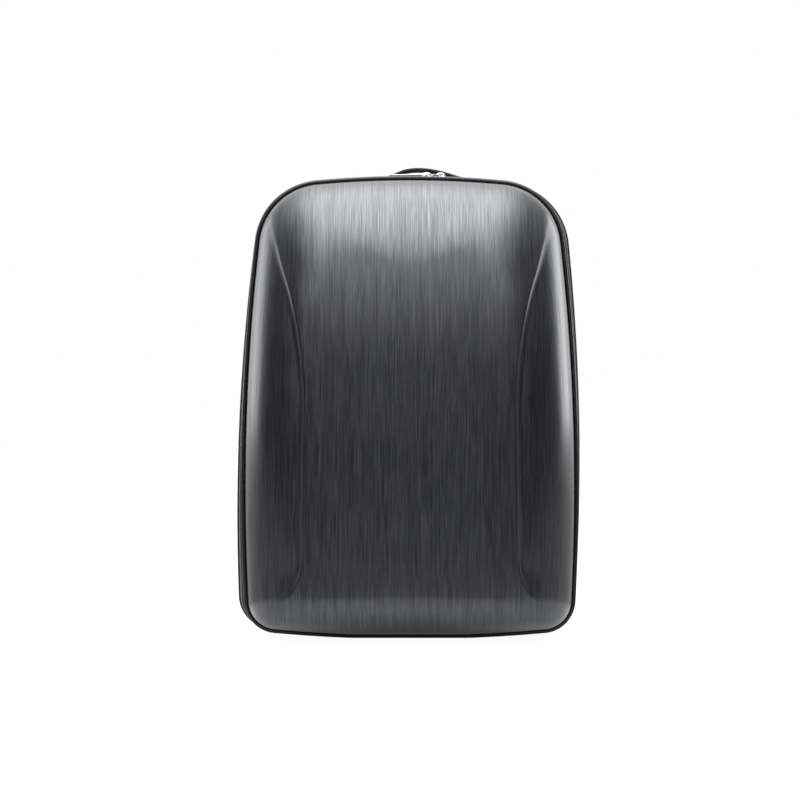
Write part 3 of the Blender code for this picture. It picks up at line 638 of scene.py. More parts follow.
def grid_surface(row_places, slot_places, turned=False):
    """Surface places of a loft from the lengths along its rows and slots."""
    if turned:
        return [[(r, s) for s in slot_places] for r in row_places]
    return [[(s, r) for s in slot_places] for r in row_places]


def tube(rings, line):
    """Closed tube whose surface is measured along a line and round its first ring."""
    return loft(rings, grid_surface(running(line), running(rings[0], closed=True)))


def ribbon(path, across, section):
    """Sweep a section (side, out pairs for each point) along a path in one piece."""
    rings = []
    last = len(path) - 1
    for i, point in enumerate(path):
        before = (point - path[i - 1]).normalized() if i > 0 else None
        after = (path[i + 1] - point).normalized() if i < last else None
        before = before or after
        after = after or before
        along = (before + after).normalized()
        miter = min(1.5, 1.0 / max(0.1, along.dot(after)))
        out = along.cross(across).normalized()
        side = out.cross(along).normalized()
        rings.append([point + side * a + out * (b * miter) for a, b in section(i)])
    return tube(rings, path)


def rounded_section(width, thick, steps=3):
    """Section of flat webbing with rounded edges."""
    a = width / 2
    b = thick / 2
    pairs = []
    for sign in (1, -1):
        for step in range(steps + 1):
            turn = math.pi * (step / steps - 0.5)
            pairs.append((sign * (a - b + b * math.cos(turn)), sign * b * math.sin(turn)))
        for share in (0.25, 0.5, 0.75):
            pairs.append((sign * mix(a - b, b - a, share), sign * b))
    return pairs


def eased_path(points, reach, steps=5):
    """Path whose corners are rounded within a reach of each."""
    path = [points[0]]
    for before, corner, after in zip(points, points[1:], points[2:]):
        into = corner - before
        away = after - corner
        start = corner - into.normalized() * min(reach, 0.45 * into.length)
        end = corner + away.normalized() * min(reach, 0.45 * away.length)
        for step in range(steps + 1):
            t = step / steps
            path.append(start.lerp(corner, t).lerp(corner.lerp(end, t), t))
    path.append(points[-1])
    return path


def filled_path(points, pitch):
    """Path with extra points where two of its points lie far apart."""
    path = [points[0]]
    for start, end in zip(points, points[1:]):
        steps = max(1, round((end - start).length / pitch))
        path += [start.lerp(end, k / steps) for k in range(1, steps + 1)]
    return path


def round_edges(bm, edges, offset, segments):
    """Round edges of a bmesh."""
    bmesh.ops.bevel(
        bm,
        geom=edges,
        offset=offset,
        segments=segments,
        profile=0.5,
        affect="EDGES",
        material=-1,
    )


def add_copy(bm, source, matrix):
    """Copy a small prototype mesh into a bmesh at a place."""
    known = len(bm.verts)
    bm.from_mesh(source)
    bm.verts.ensure_lookup_table()
    bmesh.ops.transform(bm, matrix=matrix, verts=bm.verts[known:])


def seat_matrix(place, along, out):
    """Matrix that lays a prototype's X along a line and its Z outward."""
    along = along.normalized()
    side = out.cross(along).normalized()
    out = along.cross(side).normalized()
    matrix = Matrix((along, side, out)).transposed().to_4x4()
    matrix.translation = place
    return matrix


def stitch_mesh(length, radius):
    """One stitch of thread: a short rounded dash with a few dozen faces."""
    bm = bmesh.new()
    bmesh.ops.create_uvsphere(bm, u_segments=6, v_segments=5, radius=1.0)
    bmesh.ops.rotate(bm, verts=bm.verts, matrix=Matrix.Rotation(math.pi / 2, 3, "Y"))
    bmesh.ops.scale(bm, verts=bm.verts, vec=(length / 2, radius, radius))
    mesh = bpy.data.meshes.new("stitch")
    bm.to_mesh(mesh)
    bm.free()
    return mesh


def add_stitches(bag, bm, line, outs, kind):
    """Sew one kind of stitches along a line of points on a surface."""
    pitch_share, length, radius = kind
    stitch = stitch_mesh(length, radius)
    for number, share in even_line(line, pitch_share * bag.bands.stitch_pitch):
        start = line[number]
        end = line[number + 1]
        out = outs[number].lerp(outs[number + 1], share)
        add_copy(bm, stitch, seat_matrix(start.lerp(end, share), end - start, out))
    bpy.data.meshes.remove(stitch)


def relax(bm):
    """Draw every point halfway towards its neighbours."""
    bmesh.ops.smooth_vert(
        bm, verts=bm.verts, factor=0.5, use_axis_x=True, use_axis_y=True, use_axis_z=True
    )


def swell(bag, bm, freedom, voxel, cap):
    """Swell a closed form with a short cloth simulation and return the result as a bmesh.

    freedom gives, for a point of the form, the share of its way that it may move: 0 where it
    is sewn down. cap is the longest way in metres.
    """
    steps = bag.simulation_steps
    mesh = bpy.data.meshes.new("padding")
    bm.to_mesh(mesh)
    bm.free()
    piece = bpy.data.objects.new("padding", mesh)
    bpy.context.scene.collection.objects.link(piece)
    remesh = piece.modifiers.new("Remesh", "REMESH")
    remesh.mode = "VOXEL"
    remesh.voxel_size = voxel
    graph = bpy.context.evaluated_depsgraph_get()
    even = bpy.data.meshes.new_from_object(piece.evaluated_get(graph))
    piece.modifiers.remove(remesh)
    piece.data = even
    before = [v.co.copy() for v in even.vertices]
    cloth = piece.modifiers.new("Cloth", "CLOTH")
    cloth.settings.quality = 6
    cloth.settings.mass = 0.3
    cloth.settings.tension_stiffness = 15.0
    cloth.settings.compression_stiffness = 15.0
    cloth.settings.bending_stiffness = 2.0
    cloth.settings.use_pressure = True
    cloth.settings.uniform_pressure_force = 4.0
    cloth.settings.effector_weights.gravity = 0.0
    cloth.point_cache.frame_start = 1
    cloth.point_cache.frame_end = steps
    scene = bpy.context.scene
    for number in range(1, steps + 1):
        scene.frame_set(number)
    graph = bpy.context.evaluated_depsgraph_get()
    swollen = bpy.data.meshes.new_from_object(piece.evaluated_get(graph))
    piece.modifiers.remove(cloth)
    scene.frame_set(1)
    for vert, rest in zip(swollen.vertices, before):
        move = vert.co - rest
        if move.length > cap:
            move = move.normalized() * cap
        vert.co = rest + move * freedom(rest)
    piece.data = swollen
    bpy.data.meshes.remove(even)
    result = bmesh.new()
    result.from_mesh(piece.data)
    bpy.data.meshes.remove(mesh)
    bpy.data.meshes.remove(piece.data)
    relax(result)
    bmesh.ops.subdivide_edges(result, edges=result.edges, cuts=1, use_grid_fill=True, smooth=0.0)
    for _ in range(3):
        relax(result)
    return result


class Signal:
    """A number that a material works out, ready for plain arithmetic."""

    def __init__(self, finish, socket):
        self.finish = finish
        self.socket = socket

    def math(self, operation, *values):
        made = self.finish.node("ShaderNodeMath", {"operation": operation}, dict(enumerate(values)))
        return Signal(self.finish, made.outputs[0])

    def __add__(self, other):
        return self.math("ADD", self, other)

    def __radd__(self, other):
        return self.math("ADD", other, self)

    def __sub__(self, other):
        return self.math("SUBTRACT", self, other)

    def __rsub__(self, other):
        return self.math("SUBTRACT", other, self)

    def __mul__(self, other):
        return self.math("MULTIPLY", self, other)

    def __rmul__(self, other):
        return self.math("MULTIPLY", other, self)

    def __truediv__(self, other):
        return self.math("DIVIDE", self, other)

    def __pow__(self, other):
        return self.math("POWER", self, other)

    def __abs__(self):
        return self.math("ABSOLUTE", self)

    def sine(self):
        return self.math("SINE", self)

    def fraction(self):
        return self.math("FRACT", self)

    def above(self, limit):
        return self.math("GREATER_THAN", self, limit)

    def most(self, other):
        return self.math("MAXIMUM", self, other)

    def ease(self, low, high):
        """Ease from 0 at low to 1 at high."""
        settings = {"interpolation_type": "SMOOTHSTEP"}
        sockets = {"Value": self, "From Min": low, "From Max": high}
        made = self.finish.node("ShaderNodeMapRange", settings, sockets)
        return Signal(self.finish, made.outputs["Result"])


class Shading:
    """A node tree, with the one way in which it gains nodes."""

    def __init__(self, tree, shader):
        self.tree = tree
        self.shader = tree.nodes[shader]

    def node(self, kind, settings=None, sockets=None):
        """Add a node with its settings and the values or links of its sockets."""
        made = self.tree.nodes.new(kind)
        for name, value in (settings or {}).items():
            setattr(made, name, value)
        for name, value in (sockets or {}).items():
            self.feed(made.inputs[name], value)
        return made

    def feed(self, socket, value):
        """Link or set one socket."""
        if isinstance(value, Signal):
            self.tree.links.new(value.socket, socket)
        elif isinstance(value, bpy.types.NodeSocket):
            self.tree.links.new(value, socket)
        elif value is not None:
            socket.default_value = value

    def set(self, **values):
        """Set the shader's own sockets: Base_Color stands for Base Color."""
        for name, value in values.items():
            self.feed(self.shader.inputs[name.replace("_", " ")], value)

    def place(self):
        """Object coordinates."""
        return self.node("ShaderNodeTexCoord").outputs["Object"]

    def surface(self):
        """The piece's own surface places."""
        return self.node("ShaderNodeUVMap", {"uv_map": "surface"}).outputs["UV"]

    def parts(self, vector):
        """The three numbers of a vector."""
        made = self.node("ShaderNodeSeparateXYZ", {}, {0: vector})
        return [Signal(self, made.outputs[i]) for i in range(3)]

    def vector(self, x, y, z):
        """A vector from three numbers."""
        return self.node("ShaderNodeCombineXYZ", {}, {0: x, 1: y, 2: z}).outputs[0]

    def stretched(self, vector, scale):
        """A vector scaled apart along its three directions."""
        made = self.node("ShaderNodeVectorMath", {"operation": "MULTIPLY"}, {0: vector, 1: scale})
        return made.outputs[0]

    def noise(self, vector, scale, detail=2.0, roughness=0.5):
        """Soft noise from 0 to 1."""
        sockets = {"Vector": vector, "Scale": scale, "Detail": detail, "Roughness": roughness}
        return Signal(self, self.node("ShaderNodeTexNoise", {}, sockets).outputs["Fac"])

    def blend(self, factor, first, second):
        """Colour between two colours."""
        made = self.node("ShaderNodeMix", {"data_type": "RGBA"})
        self.feed(made.inputs[0], factor)
        for number, value in ((6, first), (7, second)):
            is_link = isinstance(value, bpy.types.NodeSocket)
            self.feed(made.inputs[number], value if is_link else (*value, 1.0))
        return made.outputs[2]

    def relief(self, height, depth, strength=1.0):
        """Bump from a height of 0 to 1 that is so many metres deep."""
        sockets = {"Height": height, "Distance": depth, "Strength": strength}
        made = self.node("ShaderNodeBump", {}, sockets)
        self.feed(self.shader.inputs["Normal"], made.outputs["Normal"])


class Finish(Shading):
    """A material that starts from its Principled shader."""

    def __init__(self, name):
        self.material = bpy.data.materials.new(name)
        self.material.use_nodes = True
        super().__init__(self.material.node_tree, "Principled BSDF")


def scaled(colour, factor):
    """A colour made lighter or darker."""
    return tuple(min(1.0, c * factor) for c in colour)


def shades(finish, tone, colour, dark, light):
    """Base colour between a darker and a lighter shade of one colour."""
    finish.set(Base_Color=finish.blend(tone, scaled(colour, dark), scaled(colour, light)))


def waves(value, pitch):
    """Even ridges at a pitch, from 0 to 1."""
    return 0.5 + 0.5 * (value * (TAU / pitch)).sine()


def weave(u, v, pitch):
    """Plain weave as a height from 0 to 1: threads that pass over and under each other."""
    k = math.pi / pitch
    return 0.5 + 0.5 * (u * k).sine() * (v * k).sine()


def brushed(finish, across, along, layer):
    """Upright brushed streaks of three widths, from 0 to 1."""
    place = finish.vector(across, along, layer)
    fine = finish.noise(finish.stretched(place, (1900.0, 30.0, 1.0)), 1.0, 2.0, 0.7)
    middling = finish.noise(finish.stretched(place, (760.0, 14.0, 1.0)), 1.0, 1.0)
    broad = finish.noise(finish.stretched(place, (120.0, 4.0, 1.0)), 1.0, 1.0)
    return 0.60 * fine + 0.28 * middling + 0.12 * broad


def brushed_film(colours):
    """Dark metallic film with fine upright streaks, brushed from the front and from each side."""
    finish = Finish("brushed_film")
    x, y, z = finish.parts(finish.place())
    turned, _, _ = finish.parts(finish.surface())
    side = turned.ease(0.60, 0.85)
    front_streak = brushed(finish, x, z, 0.0)
    side_streak = brushed(finish, y, z, 5.0)
    streak = (front_streak + side * (side_streak - front_streak)).ease(0.36, 0.64)
    cloud = finish.noise(finish.place(), 7.0, 2.0)
    finish.set(Base_Color=finish.blend(streak, colours.shell, colours.shell_light))
    finish.set(Roughness=0.18 + 0.06 * streak + 0.03 * cloud)
    finish.set(Metallic=1.0)
    finish.relief(streak, 0.00003, 0.4)
    return finish.material


def piping_gloss(colours):
    """Glossy coated cord with a faint grain and thumbed patches."""
    finish = Finish("piping_gloss")
    place = finish.surface()
    grain = finish.noise(place, 1900.0, 2.0)
    touch = finish.noise(place, 60.0, 2.0)
    shades(finish, touch.ease(0.35, 0.7), colours.piping, 1.0, 1.7)
    finish.set(Roughness=0.20 + 0.10 * touch + 0.04 * grain)
    finish.relief(grain, 0.00004, 0.4)
    return finish.material


def tape_cloth(colours):
    """Woven tape: a fine twill whose ribs run slantwise."""
    finish = Finish("tape_cloth")
    u, v, _ = finish.parts(finish.surface())
    twill = waves(u + 0.6 * v, 0.0009)
    thread = waves(v, 0.0006)
    dust = finish.noise(finish.surface(), 260.0, 3.0)
    height = 0.7 * twill + 0.3 * thread
    # Painted shade: the tape is darker in the hollows between its twill ribs and threads; the dust
    # noise is its own uneven tone.
    tone = (0.6 * height + 0.4 * dust).ease(0.2, 0.8)
    shades(finish, tone, colours.tape, 0.55, 1.6)
    finish.set(Roughness=0.92 - 0.14 * height)
    finish.set(Sheen_Weight=0.25, Sheen_Roughness=0.4)
    finish.relief(height, 0.0002, 0.8)
    return finish.material


def coil_nylon(colours):
    """Nylon coil: satin with faint drawing lines."""
    finish = Finish("coil_nylon")
    place = finish.place()
    lines = finish.noise(place, 2400.0, 2.0)
    patch = finish.noise(place, 90.0, 2.0)
    shades(finish, patch.ease(0.3, 0.7), colours.coil, 1.0, 1.8)
    finish.set(Roughness=0.34 + 0.14 * lines)
    finish.relief(lines, 0.00004, 0.4)
    return finish.material


def woven_cloth(colours):
    """Coarse woven polyester: paired threads, slubs and worn high spots."""
    finish = Finish("woven_cloth")
    u, v, _ = finish.parts(finish.surface())
    threads = weave(u, v, 0.0011)
    slub = finish.noise(finish.stretched(finish.surface(), (1.0, 14.0, 1.0)), 60.0, 3.0)
    worn = finish.noise(finish.place(), 14.0, 4.0, 0.6)
    # Painted shade: the cloth is darker in the hollows between its threads; slubs and worn spots
    # are its own uneven tone.
    tone = (0.55 * threads + 0.25 * slub + 0.20 * worn).ease(0.2, 0.85)
    shades(finish, tone, colours.case, 0.5, 1.75)
    finish.set(Roughness=0.95 - 0.12 * threads - 0.08 * worn)
    finish.set(Sheen_Weight=0.2, Sheen_Roughness=0.5)
    finish.relief(0.8 * threads + 0.2 * slub, 0.00035, 0.8)
    return finish.material


def spacer_net(colours):
    """Spacer mesh: a net of knitted cells, darker in the holes between them as painted shade."""
    finish = Finish("spacer_net")
    x, y, z = finish.parts(finish.place())
    across = (x + 0.7 * y) / 0.0028
    along = (z + 0.7 * y) / 0.0034
    shifted = across + 0.5 * (along * 0.5).fraction().above(0.5)
    hole_x = abs(shifted.fraction() - 0.5)
    hole_z = abs(along.fraction() - 0.5)
    away = (hole_x * hole_x + hole_z * hole_z) ** 0.5
    net = away.ease(0.20, 0.36)
    yarn = finish.noise(finish.place(), 1500.0, 2.0)
    # The holes are darker: painted shade in the recesses between the knitted cells; the yarn noise
    # is the mesh's own uneven tone.
    tone = (0.8 * net + 0.2 * yarn).ease(0.0, 1.0)
    shades(finish, tone, colours.mesh, 0.3, 1.6)
    finish.set(Roughness=0.97 - 0.12 * yarn)
    finish.set(Sheen_Weight=0.3, Sheen_Roughness=0.5)
    finish.relief(net + 0.15 * yarn, 0.0006, 0.8)
    return finish.material


def ribbed_webbing(colours):
    """Ribbed webbing: raised cords along it, crossed by a tight weft."""
    finish = Finish("ribbed_webbing")
    u, v, _ = finish.parts(finish.surface())
    pair = 0.0032
    cords = abs((u * (TAU / pair)).sine())
    zigzag = 0.4 * abs((u / pair).fraction() - 0.5) * pair
    weft = waves(v + zigzag, 0.0010)
    fuzz = finish.noise(finish.surface(), 900.0, 3.0)
    height = 0.6 * cords + 0.4 * weft
    # Painted shade: the webbing is darker in the grooves between its cords and weft; the fuzz noise
    # is its own uneven tone.
    tone = (0.7 * height + 0.3 * fuzz).ease(0.15, 0.85)
    shades(finish, tone, colours.webbing, 0.45, 1.9)
    finish.set(Roughness=0.86 - 0.18 * height)
    finish.set(Sheen_Weight=0.2, Sheen_Roughness=0.4)
    finish.relief(height, 0.0003, 0.8)
    return finish.material


def binding_tape(colours):
    """Folded binding on the strap edges: fine cross ribs."""
    finish = Finish("binding_tape")
    _, v, _ = finish.parts(finish.surface())
    ribs = waves(v, 0.0011)
    fuzz = finish.noise(finish.surface(), 700.0, 3.0)
    # Painted shade: the binding is darker in the grooves between its ribs; the fuzz noise is its
    # own uneven tone.
    tone = (0.6 * ribs + 0.4 * fuzz).ease(0.2, 0.8)
    shades(finish, tone, colours.webbing, 0.6, 1.7)
    finish.set(Roughness=0.78 - 0.15 * ribs)
    finish.set(Sheen_Weight=0.2, Sheen_Roughness=0.4)
    finish.relief(ribs, 0.0002, 0.7)
    return finish.material


def sewing_thread(colours):
    """Twisted black thread."""
    finish = Finish("sewing_thread")
    place = finish.place()
    twist = finish.noise(place, 2600.0, 1.0)
    shades(finish, twist, colours.webbing, 0.9, 2.6)
    finish.set(Roughness=0.55 + 0.2 * twist)
    finish.set(Sheen_Weight=0.2)
    finish.relief(twist, 0.0001, 0.6)
    return finish.material


def moulded_plastic(colours):
    """Moulded plastic with a spark-eroded grain and polished high spots."""
    finish = Finish("moulded_plastic")
    place = finish.place()
    grain = finish.noise(place, 1400.0, 3.0, 0.6)
    rubbed = finish.noise(place, 45.0, 2.0)
    tone = rubbed.ease(0.3, 0.75)
    shades(finish, tone, colours.plastic, 1.0, 1.7)
    finish.set(Roughness=0.36 + 0.16 * grain - 0.06 * rubbed)
    finish.relief(grain, 0.00006, 0.6)
    return finish.material


def polished_metal(colours):
    """Polished zip metal with tumbling marks and dulled patches."""
    finish = Finish("polished_metal")
    place = finish.place()
    marks = finish.noise(place, 1700.0, 3.0, 0.6)
    dulled = finish.noise(place, 180.0, 2.0)
    tone = dulled.ease(0.35, 0.75)
    shades(finish, tone, colours.metal, 1.0, 0.86)
    finish.set(Roughness=0.13 + 0.10 * dulled + 0.05 * marks)
    finish.set(Metallic=1.0)
    finish.relief(marks, 0.00002, 0.4)
    return finish.material


def pale_floor(colours):
    """Floor that is white to the camera and that lights the bag from close by its foot."""
    finish = Finish("pale_floor")
    mottle = finish.noise(finish.place(), 3.0, 3.0)
    shades(finish, mottle, colours.floor, 0.99, 1.0)
    finish.set(Roughness=0.9 - 0.05 * mottle)
    finish.set(Specular_IOR_Level=0.1)
    x, y, _ = finish.parts(finish.place())
    # Painted light seen only by the bag: the floor glows in a ring round the bag's foot and stays
    # dim right under the bag as painted shadow.
    away = (x * x * 0.35 + y * y) ** 0.5
    near = (1.0 - away.ease(0.12, 0.30)) * away.ease(0.06, 0.13)
    glow = finish.blend(near, (0.12, 0.12, 0.12), (0.80, 0.80, 0.80))
    seen = Signal(finish, finish.node("ShaderNodeLightPath").outputs["Is Camera Ray"])
    finish.set(Emission_Color=finish.blend(seen, glow, (1.0, 1.0, 1.0)))
    finish.set(Emission_Strength=0.95)
    return finish.material


MAKERS = (
    brushed_film,
    piping_gloss,
    tape_cloth,
    coil_nylon,
    woven_cloth,
    spacer_net,
    ribbed_webbing,
    binding_tape,
    sewing_thread,
    moulded_plastic,
    polished_metal,
    pale_floor,
)
FINISHES = {maker.__name__: maker for maker in MAKERS}


def finish_named(name, bag):
    """The material of one finish, made when it is first asked for."""
    return bpy.data.materials.get(name) or FINISHES[name](bag.colours)


def evened(values, passes):
    """Values round a closed line, each drawn towards its neighbours a number of times."""
    count = len(values)
    for _ in range(passes):
        values = [
            0.25 * values[i - 1] + 0.5 * values[i] + 0.25 * values[(i + 1) % count]
            for i in range(count)
        ]
    return values


def rolled(distance, reach, power):
    """Share of full depth at a distance in from an edge."""
    open_share = max(0.0, 1.0 - distance / reach)
    return (1.0 - open_share**power) ** (1.0 / power)


class ShellForm:
    """The dome of the front half, with its centre panel and side scoops."""

    def __init__(self, bag, layout):
        self.shell = bag.shell
        self.layout = layout
        self.height = bag.outline.height
        self.half_width = bag.outline.half_width
        self.piping_radius = bag.bands.piping_radius
        self.rolls = {}
        self.shares = self.crease_shares()

    def crease_x(self, z):
        """Half width of the centre panel at a height."""
        return self.half_width * along_table(CREASE, z / self.height)

    def scoop(self, x, z, rim_distance):
        """How deep a side scoop lies below the dome."""
        shell = self.shell
        probe = 0.001
        slope = (self.crease_x(z + probe) - self.crease_x(z - probe)) / (2.0 * probe)
        away = (abs(x) - self.crease_x(z)) / math.sqrt(1.0 + slope * slope)
        if away <= 0.0 or away >= shell.scoop_reach:
            return 0.0
        share = z / self.height
        fade = smooth(share, *SCOOP_FOOT) * (1.0 - smooth(share, *SCOOP_HEAD))
        step = 1.0 - (1.0 - min(1.0, away / shell.step_run)) ** 2
        rise = (1.0 - away / shell.scoop_reach) ** 1.5
        return shell.scoop_depth * fade * step * rise * min(1.0, rim_distance / shell.rim_clear)

    def spine(self, z):
        """Point of the spine that a rim point at a height runs to."""
        return Vector((0.0, min(self.shell.spine_high, max(self.shell.spine_low, z))))

    def roll_ratios(self, wall):
        """For each outline point, its way to the spine over the reach of its roll, evened out."""
        if wall in self.rolls:
            return self.rolls[wall]
        shell = self.shell
        ratios = []
        for index in range(self.layout.count):
            rim = self.layout.point(index, 0.0, shell.inset + wall)
            out = self.layout.front[index][1]
            way = Vector((rim.x, rim.z)) - self.spine(rim.z)
            end_roll = shell.roll_top if out.y > 0.0 else shell.roll_bottom
            reach = mix(shell.roll_side, end_roll, smooth(abs(out.y), 0.0, 1.0)) - wall
            ratios.append(way.dot(out) / reach)
        self.rolls[wall] = evened(ratios, 700)
        return self.rolls[wall]

    def point(self, index, share, wall=0.0):
        """Point on the way from rim (0) to spine (1); with a wall it is on the inner face."""
        shell = self.shell
        rim = self.layout.point(index, 0.0, shell.inset + wall)
        core = self.spine(rim.z)
        way = Vector((rim.x, rim.z)) - core
        x = core.x + way.x * (1.0 - share)
        z = core.y + way.y * (1.0 - share)
        lean = rolled(self.height + shell.lean_overrun - z, shell.lean_reach, 2.6)
        full = shell.depth * lean - x * x / (2.0 * shell.crown_radius) - wall
        depth = full * rolled(share * self.roll_ratios(wall)[index], 1.0, 2.3)
        inward = share * way.dot(self.layout.front[index][1])
        depth -= self.scoop(x, z, inward)
        return Vector((x, -depth - self.layout.middle, z))

    def crease_shares(self):
        """For each outline point, the share of its way in at which it meets the crease."""
        shares = []
        for index in range(self.layout.count):
            pace = 0.02
            low = 0.10 if self.layout.front[index][1].y > 0.0 else 0.20
            for step in range(2, 45):
                spot = self.point(index, pace * step)
                if abs(spot.x) < self.crease_x(spot.z):
                    break
                low = pace * step
            high = low + pace
            for _ in range(12):
                middle = 0.5 * (low + high)
                spot = self.point(index, middle)
                if abs(spot.x) < self.crease_x(spot.z):
                    high = middle
                else:
                    low = middle
            shares.append(max(0.09, low))
        return evened(shares, 6)

    def stations(self, rim_steps, face_steps):
        """Rings as functions of the crease share and of the step's share of the way."""
        rows = []
        for step in range(rim_steps + 1):
            rows.append(("rim", (step / rim_steps) ** 1.5))
        for part in (0.85, 0.7, 0.55, 0.4, 0.25, 0.1, -0.05, -0.3):
            rows.append(("step", part))
        for step in range(1, face_steps + 1):
            rows.append(("face", (step / face_steps) ** 1.15))
        return rows

    def share_at(self, index, kind, part):
        """Share of the way in of one ring at one outline point."""
        crease = self.shares[index]
        rim = self.layout.point(index, 0.0, self.shell.inset)
        span = (Vector((rim.x, rim.z)) - self.spine(rim.z)).length
        run = min(self.shell.step_run / span, 0.25 * crease)
        if kind == "rim":
            return (crease - run) * part
        if kind == "step":
            return crease - run * part
        return mix(crease + 0.3 * run, 1.0, part)

    def rings(self, wall, rim_steps, face_steps):
        """Rings of one face from its edge on the piping to its spine."""
        edge = self.layout.ring(self.piping_radius, self.shell.inset + wall)
        rings = [edge]
        for kind, part in self.stations(rim_steps, face_steps):
            ring = []
            for index in range(self.layout.count):
                ring.append(self.point(index, self.share_at(index, kind, part), wall))
            rings.append(ring)
        return rings


def lay_turn(bm):
    """Note at each corner how far the face looks sideways, for the film's streaks."""
    bm.normal_update()
    layer = bm.loops.layers.uv.new("surface")
    for face in bm.faces:
        for loop in face.loops:
            loop[layer].uv = (abs(loop.vert.normal.x), 0.0)


def build_shell(bag):
    """Hard front half: two faces lofted to the spine and joined at the rim."""
    form = ShellForm(bag, Layout(bag, FINE_ARCS))
    outer = form.rings(0.0, 34, 34)
    inner = form.rings(bag.shell.wall, 10, 10)
    bm = loft(outer[::-1] + inner, capped=False)
    lay_turn(bm)
    piece = add_piece("front_shell_film", bm, finish_named("brushed_film", bag), sharp=50)
    settle_in(piece, nodes=("front_shell",))


def build_pipings(bag):
    """Round glossy cords along both rims."""
    layout = Layout(bag, FINE_ARCS)
    radius = bag.bands.piping_radius
    sides = 14
    for name, y in (("front_piping", 0.0), ("rear_piping", layout.rear_piping)):
        rings = []
        for side in range(sides):
            turn = TAU * side / sides
            ring = []
            for i in range(layout.count):
                outward = layout.out(i, y) * (radius * math.cos(turn))
                back = Vector((0.0, radius * math.sin(turn), 0.0))
                ring.append(layout.point(i, y, radius) + outward + back)
            rings.append(ring)
        around = [TAU * radius * side / sides for side in range(sides + 1)]
        bm = loft(rings, grid_surface(around, layout.lengths(y)), closed=True)
        piece = add_piece(name + "_cord", bm, finish_named("piping_gloss", bag))
        settle_in(piece, nodes=(name,))


def band_section(y_start, y_end, inset, wall, crown):
    """Section of a cloth band: soft edges and a slight crown, as (y, inset) pairs."""
    width = y_end - y_start
    pairs = []
    for share in (0.0, 0.04, 0.15, 0.35, 0.5, 0.65, 0.85, 0.96, 1.0):
        edge = min(share, 1.0 - share) * width
        drop = 0.35 * wall * (1.0 - smooth(edge, 0.0, 0.0008))
        belly = crown * math.sin(math.pi * share)
        pairs.append((y_start + share * width, inset + drop - belly))
    pairs.append((y_end, inset + wall))
    pairs.append((mix(y_start, y_end, 0.5), inset + wall))
    pairs.append((y_start, inset + wall))
    return pairs


def hinge_indices(bag, layout):
    """First and last outline points of the zip chain, where the bottom hinge begins."""
    low = [i for i in range(layout.count) if layout.front[i][0].y < 0.5 * bag.outline.height]
    open_low = [i for i in low if abs(layout.front[i][0].x) > bag.bands.hinge_half]
    return min(open_low), max(open_low)


def build_tapes(bag):
    """Woven tapes on both sides of the zip, their stitches and the bottom hinge."""
    layout = Layout(bag, FINE_ARCS)
    bands = bag.bands
    cloth = finish_named("tape_cloth", bag)
    thread = finish_named("sewing_thread", bag)
    seam_inset = 0.0018
    crown = 0.0003
    spans = (
        ("zip_tape_front", layout.tape_front, seam_inset),
        ("zip_tape_rear", layout.tape_rear, bands.tape_width - seam_inset),
    )
    inset = bands.tape_inset
    for name, start, seam in spans:
        pairs = band_section(start, start + bands.tape_width, inset, bands.tape_wall, crown)
        rings = [layout.ring(y, deep) for y, deep in pairs]
        across = [0.0]
        for before, after in zip(pairs, pairs[1:] + pairs[:1]):
            across.append(across[-1] + math.hypot(after[0] - before[0], after[1] - before[1]))
        bm = loft(rings, grid_surface(across, layout.lengths(start), turned=True), closed=True)
        piece = add_piece(name + "_weave", bm, cloth)
        settle_in(piece, nodes=(name,))
        sewn = bmesh.new()
        line = layout.ring(start + seam, inset - crown)
        outs = [layout.out(i, start) for i in range(layout.count)]
        line.append(line[0])
        outs.append(outs[0])
        add_stitches(bag, sewn, line, outs, TAPE_STITCHES)
        piece = add_piece(name + "_stitches", sewn, thread)
        settle_in(piece)

    first, last = hinge_indices(bag, layout)
    start = layout.chain
    pairs = band_section(start, start + bands.chain_width, inset, bands.tape_wall, 0.0002)
    rings = []
    for index in range(last, layout.count + first + 1):
        rings.append([layout.point(index, y, deep) for y, deep in pairs])
    bm = tube(rings, [ring[0] for ring in rings])
    piece = add_piece("bottom_hinge_weave", bm, cloth)
    settle_in(piece, nodes=("bottom_hinge",))


def coil_mesh(reach, wide, high):
    """One turn of the coil: a bent bar with a swollen head, a few dozen faces."""
    bm = bmesh.new()
    bmesh.ops.create_cube(bm, size=1.0)
    bmesh.ops.scale(bm, verts=bm.verts, vec=(wide, reach, high))
    length_edges = [e for e in bm.edges if abs(e.verts[0].co.y - e.verts[1].co.y) > 0.5 * reach]
    bmesh.ops.subdivide_edges(bm, edges=length_edges, cuts=3, use_grid_fill=True)
    for vert in bm.verts:
        share = vert.co.y / reach + 0.5
        vert.co.x *= 0.72 + 0.50 * bell(share - 0.86, 0.30)
        vert.co.z *= 0.70 + 0.30 * math.sin(math.pi * min(1.0, 0.15 + 0.80 * share))
    round_edges(bm, bm.edges[:], 0.12 * wide, 1)
    mesh = bpy.data.meshes.new("coil_turn")
    for face in bm.faces:
        face.smooth = True
    bm.to_mesh(mesh)
    bm.free()
    return mesh


